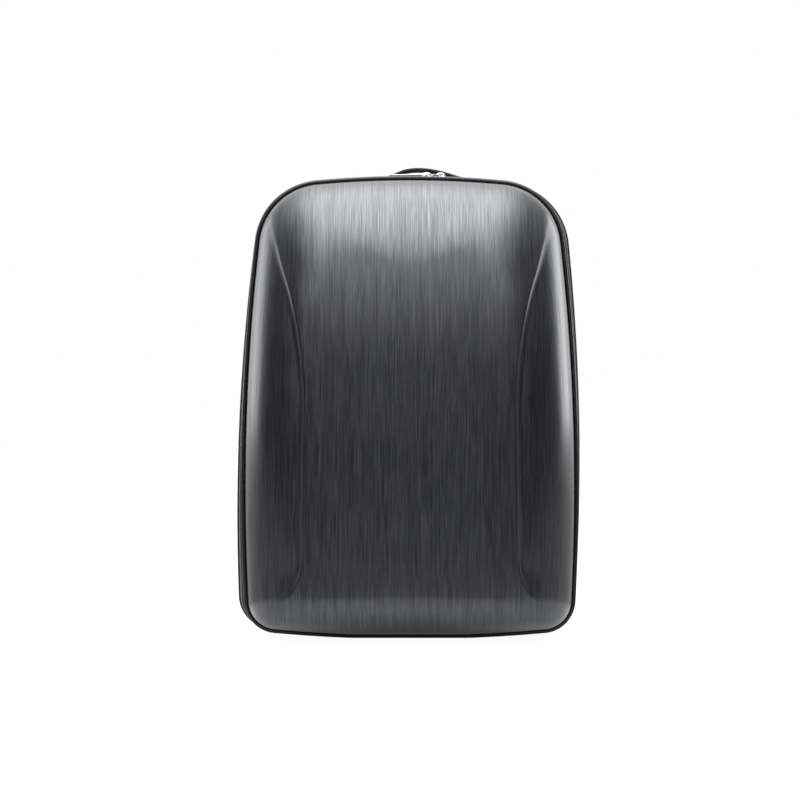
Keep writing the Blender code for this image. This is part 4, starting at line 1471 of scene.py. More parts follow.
def build_chain(bag):
    """Zip chain: a woven bed and two rows of coil that mesh in the middle."""
    layout = Layout(bag, FINE_ARCS)
    bands = bag.bands
    first, last = hinge_indices(bag, layout)
    start = layout.chain
    sunk = 0.0008
    bed = bands.tape_inset + sunk
    pairs = band_section(start, start + bands.chain_width, bed, bands.tape_wall - sunk, 0.0)
    rings = []
    for index in range(first, last + 1):
        rings.append([layout.point(index, y, inset) for y, inset in pairs])
    bm = tube(rings, [ring[0] for ring in rings])
    piece = add_piece("zip_chain_bed", bm, finish_named("tape_cloth", bag))
    settle_in(piece)

    coil_high = 0.0016
    play = 0.0002
    reach = 0.56 * bands.chain_width
    turn = coil_mesh(reach, 0.62 * bands.coil_pitch, coil_high)
    middle = start + 0.5 * bands.chain_width
    coils = bmesh.new()
    line = [layout.point(i, middle, bands.tape_inset + play) for i in range(first, last + 1)]
    outs = [layout.out(i, middle) for i in range(first, last + 1)]
    places = even_line(line, bands.coil_pitch)
    offset = 0.5 * (bands.chain_width - reach) - play
    for side in (-1, 1):
        for number, share in places if side < 0 else places[:-1]:
            step = line[number + 1] - line[number]
            if side > 0:
                share += 0.5 * bands.coil_pitch / step.length
            spot = line[number].lerp(line[number + 1], share)
            matrix = seat_matrix(spot, step, outs[number])
            across = side if matrix.col[1].y > 0.0 else -side
            shift = Matrix.Translation((0.0, across * offset, 0.0))
            flip = Matrix.Rotation(math.pi if across > 0 else 0.0, 4, "Z")
            add_copy(coils, turn, matrix @ shift @ flip)
    bpy.data.meshes.remove(turn)
    piece = add_piece("zip_chain_coil", coils, finish_named("coil_nylon", bag))
    settle_in(piece, nodes=("zip_chain",))


def case_point(bag, layout, index, y, inset, crown, crumple):
    """Point of the rear case, bellied out between its seams and softly waved."""
    sag = bag.bands.tape_inset
    spot = layout.point(index, y, inset, sag)
    out = layout.out(index, y)
    depth = (y - layout.case) / bag.case.depth
    belly = crown * math.sin(math.pi * min(1.0, max(0.0, depth))) ** 0.8
    wave = noise.noise(Vector((spot.x * 16.0, spot.y * 30.0, spot.z * 16.0)))
    fine = noise.noise(Vector((spot.x * 45.0, spot.y * 60.0, spot.z * 45.0)))
    held = smooth(depth, 0.0, 0.25)
    shift = belly + crumple * held * (0.75 * wave + 0.25 * fine)
    moved = spot + out * shift
    moved.z = max(moved.z, 0.0)
    return moved


def case_rings(bag, layout, wall, crown, crumple):
    """Rings of one face of the rear case, from its open edge over the roll to the middle."""
    case = bag.case
    inset = bag.bands.tape_inset + wall
    roll = case.roll - wall
    start = layout.case_back - case.roll
    rows = []
    for share in (0.0, 0.03, 0.10, 0.22, 0.36, 0.52, 0.68, 0.84):
        rows.append((mix(layout.case, start, share), inset))
    for step in range(9):
        turn = 0.5 * math.pi * step / 8
        rows.append((start + roll * math.sin(turn), inset + roll * (1.0 - math.cos(turn))))
    rings = []
    for y, deep in rows:
        ring = [case_point(bag, layout, i, y, deep, crown, crumple) for i in range(layout.count)]
        rings.append(ring)
    edge = rings[-1]
    middle_low = 0.10
    middle_high = 0.34
    for share in (0.06, 0.14, 0.24, 0.36, 0.5, 0.64, 0.78, 0.9, 1.0):
        ring = []
        for point in edge:
            core = Vector((0.0, point.y, min(middle_high, max(middle_low, point.z))))
            spot = point.lerp(core, share)
            wave = noise.noise(Vector((spot.x * 14.0, 3.0, spot.z * 14.0)))
            spot.y -= crumple * (0.5 + 0.5 * wave) * smooth(share, 0.0, 0.3)
            ring.append(spot)
        rings.append(ring)
    return rings


def build_case(bag):
    """Rear half: a cloth tray with a seam round its back, open to the front."""
    layout = Layout(bag, COARSE_ARCS)
    case = bag.case
    outer = case_rings(bag, layout, 0.0, case.crown, case.crumple)
    inner = case_rings(bag, layout, case.wall, 0.0, 0.0)
    lengths = layout.lengths(layout.case)
    rings = outer[::-1] + inner
    column = running([ring[0] for ring in rings])
    bm = loft(rings, grid_surface(column, lengths, turned=True))
    piece = add_piece("rear_case_cloth", bm, finish_named("woven_cloth", bag), sharp=60)
    settle_in(piece, nodes=("rear_case",))

    sewn = bmesh.new()
    for row in (1, 15):
        line = [p.copy() for p in outer[row]]
        outs = []
        for i in range(layout.count):
            ahead = outer[row][(i + 1) % layout.count] - outer[row][i - 1]
            back = outer[row + 1][i] - outer[row - 1][i]
            out = ahead.cross(back).normalized()
            if out.dot(layout.out(i, layout.case_back) + Vector((0.0, 0.4, 0.0))) < 0.0:
                out.negate()
            outs.append(out)
        line.append(line[0])
        outs.append(outs[0])
        add_stitches(bag, sewn, line, outs, CASE_STITCHES)
    piece = add_piece("rear_case_stitches", sewn, finish_named("sewing_thread", bag))
    settle_in(piece)


def pad_outline(bag, inset, steps):
    """Rounded rectangle of the back panel, as x and z."""
    case = bag.case
    line = []
    half_height = 0.5 * (case.pad_high - case.pad_low)
    middle = 0.5 * (case.pad_high + case.pad_low)
    for quarter, (sx, sz) in enumerate(((1, -1), (1, 1), (-1, 1), (-1, -1))):
        centre_x = sx * (case.pad_half_width - case.pad_corner)
        centre_z = middle + sz * (half_height - case.pad_corner)
        for step in range(steps + 1):
            turn = 0.5 * math.pi * (quarter - 1 + step / steps)
            reach = case.pad_corner - inset
            line.append((centre_x + reach * math.cos(turn), centre_z + reach * math.sin(turn)))
    return line


def build_back_panel(bag):
    """Padded back panel: swollen by simulation, then sewn into channels."""
    layout = Layout(bag, COARSE_ARCS)
    case = bag.case
    low = layout.pad - layout.middle
    high = layout.pad_back - layout.middle
    rings = []
    for share, inset in PANEL_RINGS:
        y = mix(low, high, share)
        rings.append([Vector((x, y, z)) for x, z in pad_outline(bag, inset, 8)])
    middle_z = 0.5 * (case.pad_low + case.pad_high)

    def edge_distance(co):
        beside = case.pad_half_width - abs(co.x)
        return min(beside, 0.5 * (case.pad_high - case.pad_low) - abs(co.z - middle_z))

    def freedom(co):
        return smooth(edge_distance(co), 0.006, 0.020)

    bm = swell(bag, loft(rings), freedom, voxel=0.005, cap=0.006)
    give = 0.001
    crosswise = [mix(case.pad_low, case.pad_high, share) for share in (0.34, 0.67)]
    for vert in bm.verts:
        co = vert.co
        inner = smooth(edge_distance(co), 0.004, 0.022)
        upright = bell(abs(co.x) - case.channel_x, 0.011)
        beside = 0.9 * smooth(abs(co.x), case.channel_x, case.channel_x + 0.008)
        groove = max([upright] + [beside * bell(co.z - z, 0.010) for z in crosswise])
        if co.y > mix(low, high, 0.4):
            co.y -= case.channel_depth * groove * inner
        co.y = min(high + give, max(low, co.y))
        co.x = max(-case.pad_half_width - give, min(case.pad_half_width + give, co.x))
        co.z = max(case.pad_low - give, min(case.pad_high + give, co.z))
    bmesh.ops.recalc_face_normals(bm, faces=bm.faces)
    piece = add_piece("back_panel_pad", bm, finish_named("spacer_net", bag))
    settle_in(piece, nodes=("back_panel",))


def strap_row(bag, layout, hand, down):
    """Middle, width and thickness of a shoulder strap at a share of its way down."""
    straps = bag.straps
    out, bow, wide, thick = (along_table(STRAP_ROWS, down, column) for column in range(1, 5))
    thick *= straps.thick
    on_case = layout.case_back + bag.outline.gap + thick / 2
    bowed = layout.pad_back + straps.bow + straps.thick / 2
    x = hand * mix(straps.top_x, straps.end_x, out)
    y = mix(on_case, bowed, bow) - layout.middle
    z = mix(straps.top_z, straps.end_z, down)
    return Vector((x, y, z)), straps.width * wide, thick


def strap_section(width, thick):
    """Lens-shaped section of a padded strap, thin along its sewn edges."""
    pairs = []
    for sign in (-1, 1):
        for step in range(9):
            share = step / 8
            a = -sign * (share - 0.5) * width
            b = 0.5 * thick * (0.36 + 0.64 * math.sin(math.pi * share) ** 0.55)
            pairs.append((a, sign * b))
    return pairs


def build_strap(bag, side, hand):
    """Padded shoulder strap with bound edges and rows of stitches."""
    layout = Layout(bag, COARSE_ARCS)
    straps = bag.straps
    count = 56
    rows = [strap_row(bag, layout, hand, number / count) for number in range(count + 1)]
    across = Vector((1.0, 0.0, 0.0))
    path = [point for point, _, _ in rows]
    hem = 0.005
    slack = 0.0015
    bm = ribbon(path, across, lambda i: strap_section(rows[i][1] - hem, rows[i][2] - slack))

    def freedom(co):
        down = (rows[0][0].z - co.z) / (rows[0][0].z - rows[-1][0].z)
        point, width, _ = rows[min(count, max(0, round(down * count)))]
        from_end = min(rows[0][0].z - co.z, co.z - rows[-1][0].z)
        return smooth(min(width / 2 - abs(co.x - point.x), from_end), 0.005, 0.016)

    bm = swell(bag, bm, freedom, voxel=0.004, cap=0.004)
    case_back = layout.case_back + bag.outline.gap - layout.middle
    for vert in bm.verts:
        vert.co.y = max(case_back, vert.co.y)
    bmesh.ops.recalc_face_normals(bm, faces=bm.faces)
    name = "shoulder_strap_" + side
    piece = add_piece(name + "_pad", bm, finish_named("spacer_net", bag))
    settle_in(piece, nodes=(name,))

    sewn = bmesh.new()
    for sign in (-1, 1):
        line = []
        for number, (point, width, _) in enumerate(rows):
            before = rows[max(0, number - 1)][0]
            after = rows[min(count, number + 1)][0]
            along = (after - before).normalized()
            out = along.cross(across).normalized()
            outward = out.cross(along).normalized() * sign
            line.append((point + outward * (width / 2 - straps.binding_inset), outward, out))
        rings = []
        for spot, outward, out in line:
            ring = []
            for step in range(12):
                turn = TAU * step / 12
                wide = outward * (straps.binding_wide * math.cos(turn))
                ring.append(spot + wide + out * (straps.binding_high * math.sin(turn)))
            rings.append(ring)
        binding = tube(rings, [spot for spot, _, _ in line])
        label = "inner" if sign * hand < 0 else "outer"
        material = finish_named("binding_tape", bag)
        piece = add_piece(name + "_" + label + "_binding", binding, material)
        settle_in(piece)
        seam = [spot - out * straps.binding_high for spot, _, out in line]
        add_stitches(bag, sewn, seam, [-out for _, _, out in line], STRAP_STITCHES)
    piece = add_piece(name + "_stitches", sewn, finish_named("sewing_thread", bag))
    settle_in(piece)


class BuckleFrame:
    """Seat of a ladder lock at a strap's end: its origin and its directions."""

    def __init__(self, bag, hand):
        layout = Layout(bag, COARSE_ARCS)
        straps = bag.straps
        self.end, _, _ = strap_row(bag, layout, hand, STRAP_ROWS[-1][0])
        before, _, _ = strap_row(bag, layout, hand, STRAP_ROWS[-2][0])
        self.along = (self.end - before).normalized()
        self.out = Vector((1.0, 0.0, 0.0)).cross(self.along).normalized()
        self.across = self.out.cross(self.along)
        lying = layout.case_back + bag.outline.gap + straps.webbing_thick / 2 - layout.middle
        self.anchor = Vector((hand * straps.anchor_x, lying, straps.anchor_z))
        self.gap = bag.outline.gap
        self.top = straps.lock_offset

    def spot(self, along, high, across=0.0):
        """Point so far along, outward and across."""
        return self.end + self.along * along + self.out * high + self.across * across


def build_loop(bag, side, hand):
    """Webbing loop that holds the ladder lock at the strap's end."""
    seat = BuckleFrame(bag, hand)
    straps = bag.straps
    clear = straps.lock_thick / 2 + seat.gap + straps.webbing_thick / 2
    fold = seat.top + straps.lock_bar + seat.gap + straps.webbing_thick / 2
    start = -0.002
    places = ((start, clear), (fold, clear), (fold, -clear), (start, -clear))
    corners = [seat.spot(along, high) for along, high in places]
    path = eased_path(filled_path(corners, 0.004), 0.0016, 4)
    section = rounded_section(straps.webbing_width - 0.0004, straps.webbing_thick)
    bm = ribbon(path, seat.across, lambda i: section)
    name = "lock_loop_" + side
    piece = add_piece(name + "_webbing", bm, finish_named("ribbed_webbing", bag))
    settle_in(piece, nodes=(name,))


def windowed_grid(us, vs, open_cells):
    """Flat grid of lines with some cells open: us and vs are the places of its lines."""
    bm = bmesh.new()
    columns = len(us) - 1
    rows = len(vs[0]) - 1
    bmesh.ops.create_grid(bm, x_segments=columns, y_segments=rows, size=0.5)
    bm.verts.ensure_lookup_table()
    open_faces = []
    for face in bm.faces:
        centre = face.calc_center_median()
        i = math.floor((centre.x + 0.5) * columns)
        j = math.floor((centre.y + 0.5) * rows)
        if (i, j) in open_cells:
            open_faces.append(face)
    bmesh.ops.delete(bm, geom=open_faces, context="FACES_ONLY")
    for vert in bm.verts:
        i = round((vert.co.x + 0.5) * columns)
        j = round((vert.co.y + 0.5) * rows)
        vert.co = (us[i], vs[i][j], 0.0)
    loose = [e for e in bm.edges if not e.link_faces]
    bmesh.ops.delete(bm, geom=loose, context="EDGES")
    return bm


def thicken(bm, thick, edge, segments=2):
    """Give a flat grid its thickness, with rounded rims."""
    lower = bm.verts[:]
    made = bmesh.ops.extrude_face_region(bm, geom=bm.faces[:], use_keep_orig=True)
    raised = [v for v in made["geom"] if isinstance(v, bmesh.types.BMVert)]
    bmesh.ops.translate(bm, verts=raised, vec=(0.0, 0.0, thick / 2))
    bmesh.ops.translate(bm, verts=lower, vec=(0.0, 0.0, -thick / 2))
    bmesh.ops.recalc_face_normals(bm, faces=bm.faces)
    rims = [e for e in bm.edges if len(e.link_faces) == 2 and e.calc_face_angle(0.0) > 0.6]
    round_edges(bm, rims, edge, segments)


def place_plate(bm, origin, along, across, out):
    """Lay a plate made flat into its place."""
    matrix = Matrix((along, across, out)).transposed().to_4x4()
    matrix.translation = origin
    bmesh.ops.transform(bm, matrix=matrix, verts=bm.verts)
    bmesh.ops.recalc_face_normals(bm, faces=bm.faces)


def build_lock(bag, side, hand):
    """Ladder lock: moulded frame with two slots and rounded bars."""
    seat = BuckleFrame(bag, hand)
    straps = bag.straps
    us = [seat.top]
    for step in (straps.lock_bar, straps.lock_slot) * 2 + (straps.lock_bar,):
        us.append(us[-1] + step)
    rail = straps.lock_width / 2
    slot_half = straps.webbing_width / 2 + 3.0 * seat.gap
    vs = [(-rail, -slot_half, slot_half, rail)] * len(us)
    bm = windowed_grid(us, vs, {(1, 1), (3, 1)})
    thicken(bm, straps.lock_thick, 0.0009, 3)
    place_plate(bm, seat.end, seat.along, seat.across, seat.out)
    name = "ladder_lock_" + side
    piece = add_piece(name + "_frame", bm, finish_named("moulded_plastic", bag), sharp=55)
    settle_in(piece, nodes=(name,))


def build_lower_webbing(bag, side, hand):
    """Webbing through the ladder lock: a free tail and a run down to the corner."""
    seat = BuckleFrame(bag, hand)
    straps = bag.straps
    half = straps.webbing_thick / 2
    clear = seat.gap + half
    below = -(straps.lock_thick / 2 + clear)
    lower = below - straps.webbing_thick - seat.gap
    first_slot = seat.top + straps.lock_bar + straps.lock_slot
    up_a = first_slot - clear
    down_b = first_slot + straps.lock_bar + clear
    tail = first_slot + 2.0 * straps.lock_bar + straps.lock_slot + 0.004
    corners = [
        seat.spot(tail + straps.tail, below),
        seat.spot(tail, below),
        seat.spot(down_b, below),
        seat.spot(down_b, -below),
        seat.spot(up_a, -below),
        seat.spot(up_a, lower),
        seat.spot(tail, lower),
        seat.anchor + Vector((0.0, straps.anchor_lift, 0.0)),
        seat.anchor - Vector((0.0, 0.0, straps.anchor_tab / 3)),
        seat.anchor - Vector((0.0, 0.0, straps.anchor_tab)),
    ]
    path = filled_path(eased_path(corners, 0.0013, 4), 0.004)
    section = rounded_section(straps.webbing_width, straps.webbing_thick)
    bm = ribbon(path, seat.across, lambda i: section)
    name = "strap_webbing_" + side
    piece = add_piece(name + "_weave", bm, finish_named("ribbed_webbing", bag))
    settle_in(piece, nodes=(name,))


def handle_path(bag, layout, count):
    """Middle line of the handle, from one sewn tab over the arch to the other."""
    top = bag.top
    y = 0.5 * (layout.case + layout.case_back)
    lift = bag.outline.gap + top.handle_thick / 2
    left = top.handle_x - top.handle_span / 2
    path = []
    for number in range(count + 1):
        reach = mix(-top.handle_tab, top.handle_span + top.handle_tab, number / count)
        rise = top.handle_rise * along_table(HANDLE_ROWS, reach / top.handle_span)
        x = left + reach
        ground = layout.top(x, y, bag.bands.tape_inset)
        path.append(Vector((x, y - layout.middle, ground + lift + rise)))
    return path


def build_handle(bag):
    """Webbing handle: a tab sewn down at each end and a low arch between."""
    layout = Layout(bag, COARSE_ARCS)
    top = bag.top
    path = handle_path(bag, layout, 90)
    section = rounded_section(top.handle_width, top.handle_thick, 5)
    bm = ribbon(path, Vector((0.0, 1.0, 0.0)), lambda i: section)
    piece = add_piece("handle_webbing", bm, finish_named("ribbed_webbing", bag))
    settle_in(piece, nodes=("handle",))

    sewn = bmesh.new()
    lift = top.handle_thick / 2 - 0.00005
    inset = 0.0035
    for start, end in ((0, 11), (79, 90)):
        first = path[start]
        last = path[end]
        along = (last - first).normalized()
        out = Vector((0.0, 1.0, 0.0)).cross(along)
        out = out if out.z > 0.0 else -out
        half = top.handle_width / 2 - inset
        corners = []
        for spot, side in ((first, -1), (last, -1), (last, 1), (first, 1)):
            inward = along * (inset if spot is first else -inset)
            corners.append(spot + inward + Vector((0.0, side * half, 0.0)) + out * lift)
        box = corners + corners[:1]
        for a, b in list(zip(box, box[1:])) + [(corners[0], corners[2]), (corners[1], corners[3])]:
            line = filled_path([a, b], 0.004)
            raised = []
            for p in line:
                share = min(1.0, max(0.0, (p.x - path[start].x) / (path[end].x - path[start].x)))
                place = start + share * (end - start)
                near = min(end - 1, int(place))
                z = mix(path[near].z, path[near + 1].z, place - near) + lift
                raised.append(Vector((p.x, p.y, z)))
            add_stitches(bag, sewn, raised, [out] * len(raised), HANDLE_STITCHES)
    piece = add_piece("handle_stitches", sewn, finish_named("sewing_thread", bag))
    settle_in(piece)


class SliderSeat:
    """Seat of a slider on the chain: its middle and its directions along, across and out."""

    def __init__(self, bag, layout, x):
        y = layout.chain + bag.bands.chain_width / 2
        inset = bag.bands.tape_inset - bag.bands.chain_proud

        def spot(dx, dy):
            return Vector((x + dx, y + dy - layout.middle, layout.top(x + dx, y + dy, inset)))

        half = bag.top.slider_length / 2
        self.along = (spot(half, 0.0) - spot(-half, 0.0)).normalized()
        across = spot(0.0, bag.bands.chain_width / 2) - spot(0.0, -bag.bands.chain_width / 2)
        self.out = self.along.cross(across).normalized()
        self.across = self.out.cross(self.along)
        self.middle = spot(0.0, 0.0) + self.out * (bag.outline.gap + bag.top.slider_plate)

    def spot(self, u, v, w):
        """Point so far along, across and out."""
        return self.middle + self.along * u + self.across * v + self.out * w


def build_slider(bag, side, x):
    """Slider plate with the bridge that its pull hangs on."""
    layout = Layout(bag, FINE_ARCS)
    top = bag.top
    seat = SliderSeat(bag, layout, x)
    half = top.slider_length / 2
    wide = top.slider_width / 2
    us = [half * share for share in (-1.0, -0.8, -0.45, 0.0, 0.5, 0.85, 1.0)]
    widths = [wide * share for share in (0.72, 0.88, 0.96, 0.98, 1.0, 0.92, 0.62)]
    vs = [(-w, -0.35 * w, 0.35 * w, w) for w in widths]
    bm = windowed_grid(us, vs, set())
    thicken(bm, top.slider_plate, 0.0004, 3)
    place_plate(bm, seat.spot(0.0, 0.0, -top.slider_plate / 2), seat.along, seat.across, seat.out)

    rings = []
    steps = 22
    rib = top.bridge_width / 2
    leg_out = top.bridge_length / 2
    leg_in = leg_out - top.bridge_bar
    for step in range(steps + 1):
        turn = math.pi * step / steps
        swell_up = math.sin(turn) ** 0.7 if 0 < step < steps else 0.0
        outer = Vector((-leg_out * math.cos(turn), (top.bridge_window + top.bridge_bar) * swell_up))
        inner = Vector((-leg_in * math.cos(turn), top.bridge_window * swell_up))
        if step in (0, steps):
            outer.y = inner.y = -0.0003
        centre = 0.5 * (outer + inner)
        arm = 0.5 * (outer - inner)
        ring = []
        for corner in range(12):
            around = TAU * corner / 12
            a = abs(math.cos(around)) ** 0.6 * math.copysign(1.0, math.cos(around))
            b = abs(math.sin(around)) ** 0.6 * math.copysign(1.0, math.sin(around))
            flat = centre + arm * a
            ring.append(seat.spot(flat.x, rib * b, flat.y))
        rings.append(ring)
    bridge = loft(rings)
    mesh = bpy.data.meshes.new("bridge")
    bridge.to_mesh(mesh)
    bridge.free()
    bm.from_mesh(mesh)
    bpy.data.meshes.remove(mesh)
    name = "zip_slider_" + side
    piece = add_piece(name + "_body", bm, finish_named("polished_metal", bag), sharp=50)
    settle_in(piece, nodes=(name,))


def band_top(bag, layout, x, y):
    """Height of what lies on top at a place: piping, slider plate, chain, tape or case."""
    top = bag.top
    if abs(y - layout.rear_piping) < bag.bands.piping_radius:
        return layout.top(x, y, 0.0)
    for slider_x in (top.slider_left_x, top.slider_right_x):
        seat = SliderSeat(bag, layout, slider_x)
        away = Vector((x, y - layout.middle, seat.middle.z)) - seat.middle
        over = abs(away.dot(seat.along)) < top.slider_length / 2
        if over and abs(away.dot(seat.across)) < top.slider_width / 2:
            return seat.middle.z - (away.x * seat.out.x + away.y * seat.out.y) / seat.out.z
    on_chain = layout.chain <= y <= layout.chain + bag.bands.chain_width
    proud = bag.bands.chain_proud if on_chain else 0.0
    return layout.top(x, y, bag.bands.tape_inset - proud)


def resting_rise(bag, layout, axis, flat, across, out):
    """Angle from the slider's plane at which a pull lies on the band or the plate's edge."""
    top = bag.top
    gap = bag.outline.gap
    rises = [-math.asin(0.6 * gap / (top.slider_length / 2))]
    for step in range(6, 25):
        reach = top.pull_length * step / 24
        wide = top.pull_tab_width if reach > 2.5 * top.pull_eye_length else top.pull_eye_width
        for side in (-0.5, 0.0, 0.5):
            spot = axis + flat * reach + across * (side * wide)
            height = band_top(bag, layout, spot.x, spot.y + layout.middle) + gap
            height += 0.55 * top.pull_thick
            rises.append(math.asin((height - spot.z) / (reach * out.z)))
    return max(rises)


def build_pull(bag, side, x, yaw):
    """Pull whose cross-bar lies under the slider's bridge, resting on the band."""
    layout = Layout(bag, COARSE_ARCS)
    top = bag.top
    seat = SliderSeat(bag, layout, x)
    axis = seat.middle + seat.out * (bag.outline.gap + top.pull_thick / 2)
    flat = seat.across * math.sin(yaw) - seat.along * math.cos(yaw)
    across = seat.along * math.sin(yaw) + seat.across * math.cos(yaw)
    rise = resting_rise(bag, layout, axis, flat, across, seat.out)
    along = flat * math.cos(rise) + seat.out * math.sin(rise)
    out = across.cross(along)
    bar = top.pull_bar / 2
    eye = top.pull_eye_width / 2
    tab = top.pull_tab_width / 2
    full = eye + top.pull_bar
    eye_end = bar + top.pull_eye_length
    us = (
        -bar,
        bar,
        eye_end,
        eye_end + top.pull_bar,
        eye_end + 3.5 * top.pull_bar,
        top.pull_length - tab,
        top.pull_length,
    )
    vs = (
        (-full, -eye, eye, full),
        (-full, -eye, eye, full),
        (-full, -eye, eye, full),
        (-0.9 * full, -0.6 * eye, 0.6 * eye, 0.9 * full),
        (-tab, -0.4 * tab, 0.4 * tab, tab),
        (-tab, -0.4 * tab, 0.4 * tab, tab),
        (-0.6 * tab, -0.3 * tab, 0.3 * tab, 0.6 * tab),
    )
    bm = windowed_grid(us, vs, {(1, 1)})
    thicken(bm, top.pull_thick, 0.0004, 3)
    place_plate(bm, axis, along, across, out)
    name = "zip_pull_" + side
    piece = add_piece(name + "_tab", bm, finish_named("polished_metal", bag), sharp=50)
    settle_in(piece, body="pull_" + side, nodes=(name,))


def add_area(name, place, target, wide, high, power):
    """Soft upright light that looks at a point."""
    data = bpy.data.lights.new(name, "AREA")
    data.shape = "RECTANGLE"
    data.size = wide
    data.size_y = high
    data.energy = power
    lamp = bpy.data.objects.new(name, data)
    lamp.location = place
    lamp.rotation_euler = (target - place).to_track_quat("-Z", "Y").to_euler()
    lamp.visible_camera = False
    bpy.context.scene.collection.objects.link(lamp)


def light_room(room, stage):
    """White to the camera; to the bag, a wide soft light overhead and a pale wall behind."""
    direction = room.node("ShaderNodeTexCoord").outputs["Generated"]
    x, y, z = room.parts(direction)
    behind = y.ease(-0.06, 0.70)

    # The wall behind is dimmer below the horizon and in its upper corners
    corner = (abs(x) * z).ease(0.10, 0.28)
    raised = 0.45 + 0.55 * z.ease(-0.06, 0.02)
    rear_wall = stage.rear_light * behind * raised * (1.0 - 0.30 * corner)

    # The room in front is darkest halfway out to each side
    aside = abs(x).ease(0.08, 0.38) - 0.7 * abs(x).ease(0.60, 0.95)
    front_wall = stage.front_light * (1.0 - behind) * (1.0 - 0.5 * aside)

    # The light overhead fades sideways and towards the back
    narrowed = 1.0 - 0.85 * (abs(x + 0.05) + 0.35 * y.most(0.0)).ease(0.28, 0.78)
    over = z.most(0.0) ** 0.95 * narrowed * (1.0 - y.ease(0.2, 1.0))

    bright = rear_wall + front_wall + stage.top_light * over
    seen = Signal(room, room.node("ShaderNodeLightPath").outputs["Is Camera Ray"])
    room.set(Color=(1.0, 1.0, 1.0, 1.0), Strength=seen + (1.0 - seen) * bright)


def build_stage(bag):
    """Pale floor, soft light from all round, a wide light overhead, and the camera."""
    stage = bag.stage
    layout = Layout(bag, COARSE_ARCS)
    bm = bmesh.new()
    bmesh.ops.create_grid(bm, x_segments=8, y_segments=8, size=stage.floor_size / 2)
    middle = stage.floor_size / 2 - stage.floor_front
    bmesh.ops.translate(bm, verts=bm.verts, vec=(0.0, middle, 0.0))
    floor = add_piece("floor", bm, finish_named("pale_floor", bag))

    world = bpy.data.worlds.new("studio")
    world.use_nodes = True
    bpy.context.scene.world = world
    light_room(Shading(world.node_tree, "Background"), stage)

    target = Vector((stage.target_x, -layout.middle, stage.target_z))
    aim = target + Vector((0.0, 0.0, stage.light_aim))
    for name, hand, power in (
        ("light_left", -1, stage.left_light),
        ("light_right", 1, stage.right_light),
    ):
        place = Vector((hand * stage.light_side, stage.light_back, stage.light_middle))
        add_area(name, place, aim, stage.light_wide, stage.light_high, power)

    data = bpy.data.cameras.new("camera")
    data.sensor_width = 36.0
    data.lens = stage.lens
    data.clip_start = 0.05
    data.clip_end = 50.0
    data.dof.use_dof = False
    camera = bpy.data.objects.new("camera", data)
    away = Vector((math.sin(stage.azimuth), -math.cos(stage.azimuth), 0.0))
    camera.location = target + away * stage.distance
    camera.rotation_euler = (target - camera.location).to_track_quat("-Z", "Y").to_euler()
    bpy.context.scene.collection.objects.link(camera)
    bpy.context.scene.camera = camera
    bpy.context.scene.view_settings.view_transform = "Standard"
    bpy.context.scene.view_settings.look = "None"


class BACKPACK_OT_stage(bpy.types.Operator):
    """Set the floor, the light and the camera"""

    bl_idname = "backpack.stage"
    bl_label = "Stage"

    def execute(self, context):
        build_stage(context.scene.backpack)
        return {"FINISHED"}


class BACKPACK_OT_shell(bpy.types.Operator):
    """Build the hard front half"""

    bl_idname = "backpack.shell"
    bl_label = "Front shell"

    def execute(self, context):
        build_shell(context.scene.backpack)
        return {"FINISHED"}


class BACKPACK_OT_pipings(bpy.types.Operator):
    """Build the cords round both rims"""

    bl_idname = "backpack.pipings"
    bl_label = "Pipings"

    def execute(self, context):
        build_pipings(context.scene.backpack)
        return {"FINISHED"}


class BACKPACK_OT_tapes(bpy.types.Operator):
    """Build the tapes, their stitches and the bottom hinge"""

    bl_idname = "backpack.tapes"
    bl_label = "Tapes and hinge"

    def execute(self, context):
        build_tapes(context.scene.backpack)
        return {"FINISHED"}


class BACKPACK_OT_chain(bpy.types.Operator):
    """Build the zip chain"""

    bl_idname = "backpack.chain"
    bl_label = "Zip chain"

    def execute(self, context):
        build_chain(context.scene.backpack)
        return {"FINISHED"}


class BACKPACK_OT_case(bpy.types.Operator):
    """Build the cloth rear half"""

    bl_idname = "backpack.case"
    bl_label = "Rear case"

    def execute(self, context):
        build_case(context.scene.backpack)
        return {"FINISHED"}


class BACKPACK_OT_back_panel(bpy.types.Operator):
    """Build the pad on the wearer's back"""

    bl_idname = "backpack.back_panel"
    bl_label = "Back panel"

    def execute(self, context):
        build_back_panel(context.scene.backpack)
        return {"FINISHED"}


class BACKPACK_OT_straps(bpy.types.Operator):
    """Build both shoulder straps"""

    bl_idname = "backpack.straps"
    bl_label = "Shoulder straps"

    def execute(self, context):
        build_strap(context.scene.backpack, "left", -1)
        build_strap(context.scene.backpack, "right", 1)
        return {"FINISHED"}


class BACKPACK_OT_buckles(bpy.types.Operator):
    """Build the loops, the ladder locks and the lower webbing"""

    bl_idname = "backpack.buckles"
    bl_label = "Buckles and webbing"

    def execute(self, context):
        for side, hand in (("left", -1), ("right", 1)):
            build_loop(context.scene.backpack, side, hand)
            build_lock(context.scene.backpack, side, hand)
            build_lower_webbing(context.scene.backpack, side, hand)
        return {"FINISHED"}


class BACKPACK_OT_handle(bpy.types.Operator):
    """Build the grab handle"""

    bl_idname = "backpack.handle"
    bl_label = "Handle"

    def execute(self, context):
        build_handle(context.scene.backpack)
        return {"FINISHED"}


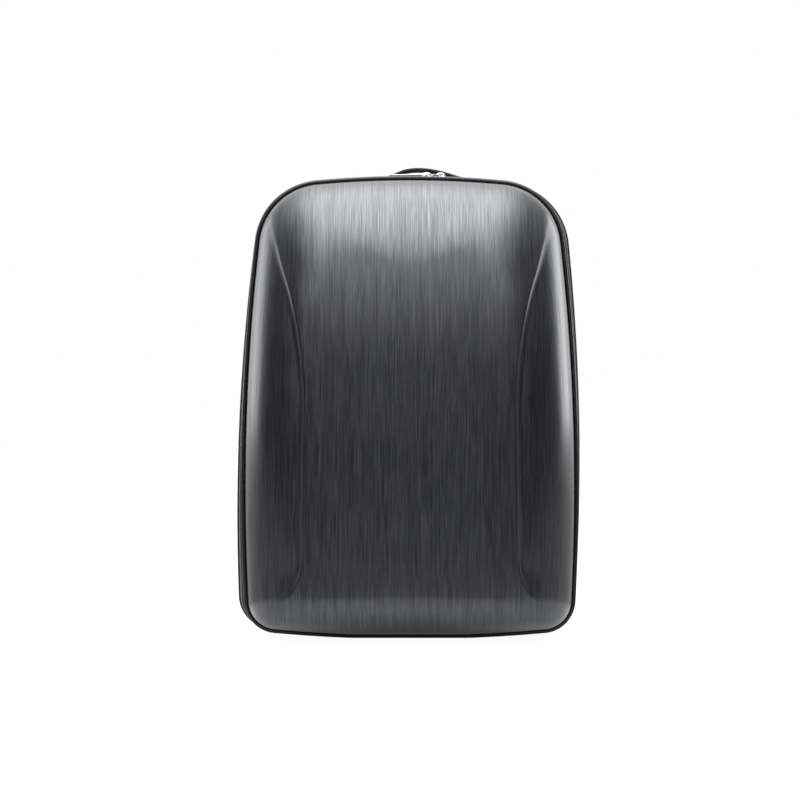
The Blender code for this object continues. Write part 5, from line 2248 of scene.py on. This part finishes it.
class BACKPACK_OT_sliders(bpy.types.Operator):
    """Build the zip sliders and their pulls"""

    bl_idname = "backpack.sliders"
    bl_label = "Sliders and pulls"

    def execute(self, context):
        bag = context.scene.backpack
        build_slider(bag, "left", bag.top.slider_left_x)
        build_slider(bag, "right", bag.top.slider_right_x)
        build_pull(bag, "left", bag.top.slider_left_x, 0.0)
        build_pull(bag, "right", bag.top.slider_right_x, bag.top.pull_right_yaw)
        return {"FINISHED"}


OPERATORS = (
    BACKPACK_OT_stage,
    BACKPACK_OT_shell,
    BACKPACK_OT_pipings,
    BACKPACK_OT_tapes,
    BACKPACK_OT_chain,
    BACKPACK_OT_case,
    BACKPACK_OT_back_panel,
    BACKPACK_OT_straps,
    BACKPACK_OT_buckles,
    BACKPACK_OT_handle,
    BACKPACK_OT_sliders,
)


class BACKPACK_PT_pieces(bpy.types.Panel):
    """Buttons for the pieces of the backpack"""

    bl_idname = "BACKPACK_PT_pieces"
    bl_label = "Hard Shell Backpack"
    bl_space_type = "VIEW_3D"
    bl_region_type = "UI"
    bl_category = "Backpack"

    def draw(self, context):
        for operator in OPERATORS:
            self.layout.operator(operator.bl_idname, text=operator.bl_label)


GROUPS = (
    OutlineSizes,
    ShellSizes,
    BandSizes,
    CaseSizes,
    StrapSizes,
    TopSizes,
    FinishColours,
    StageSettings,
    BackpackSettings,
)


def register():
    """Register the settings, the operators and the panel."""
    for group in GROUPS:
        bpy.utils.register_class(group)
    for operator in OPERATORS:
        bpy.utils.register_class(operator)
    bpy.utils.register_class(BACKPACK_PT_pieces)
    bpy.types.Scene.backpack = PointerProperty(type=BackpackSettings)


def unregister():
    """Take back what register added."""
    del bpy.types.Scene.backpack
    bpy.utils.unregister_class(BACKPACK_PT_pieces)
    for operator in reversed(OPERATORS):
        bpy.utils.unregister_class(operator)
    for group in reversed(GROUPS):
        bpy.utils.unregister_class(group)


def main():
    """Build the stage and every piece."""
    register()
    bpy.ops.backpack.stage()
    bpy.ops.backpack.shell()
    bpy.ops.backpack.pipings()
    bpy.ops.backpack.tapes()
    bpy.ops.backpack.chain()
    bpy.ops.backpack.case()
    bpy.ops.backpack.back_panel()
    bpy.ops.backpack.straps()
    bpy.ops.backpack.buckles()
    bpy.ops.backpack.handle()
    bpy.ops.backpack.sliders()


if __name__ == "__main__":
    main()
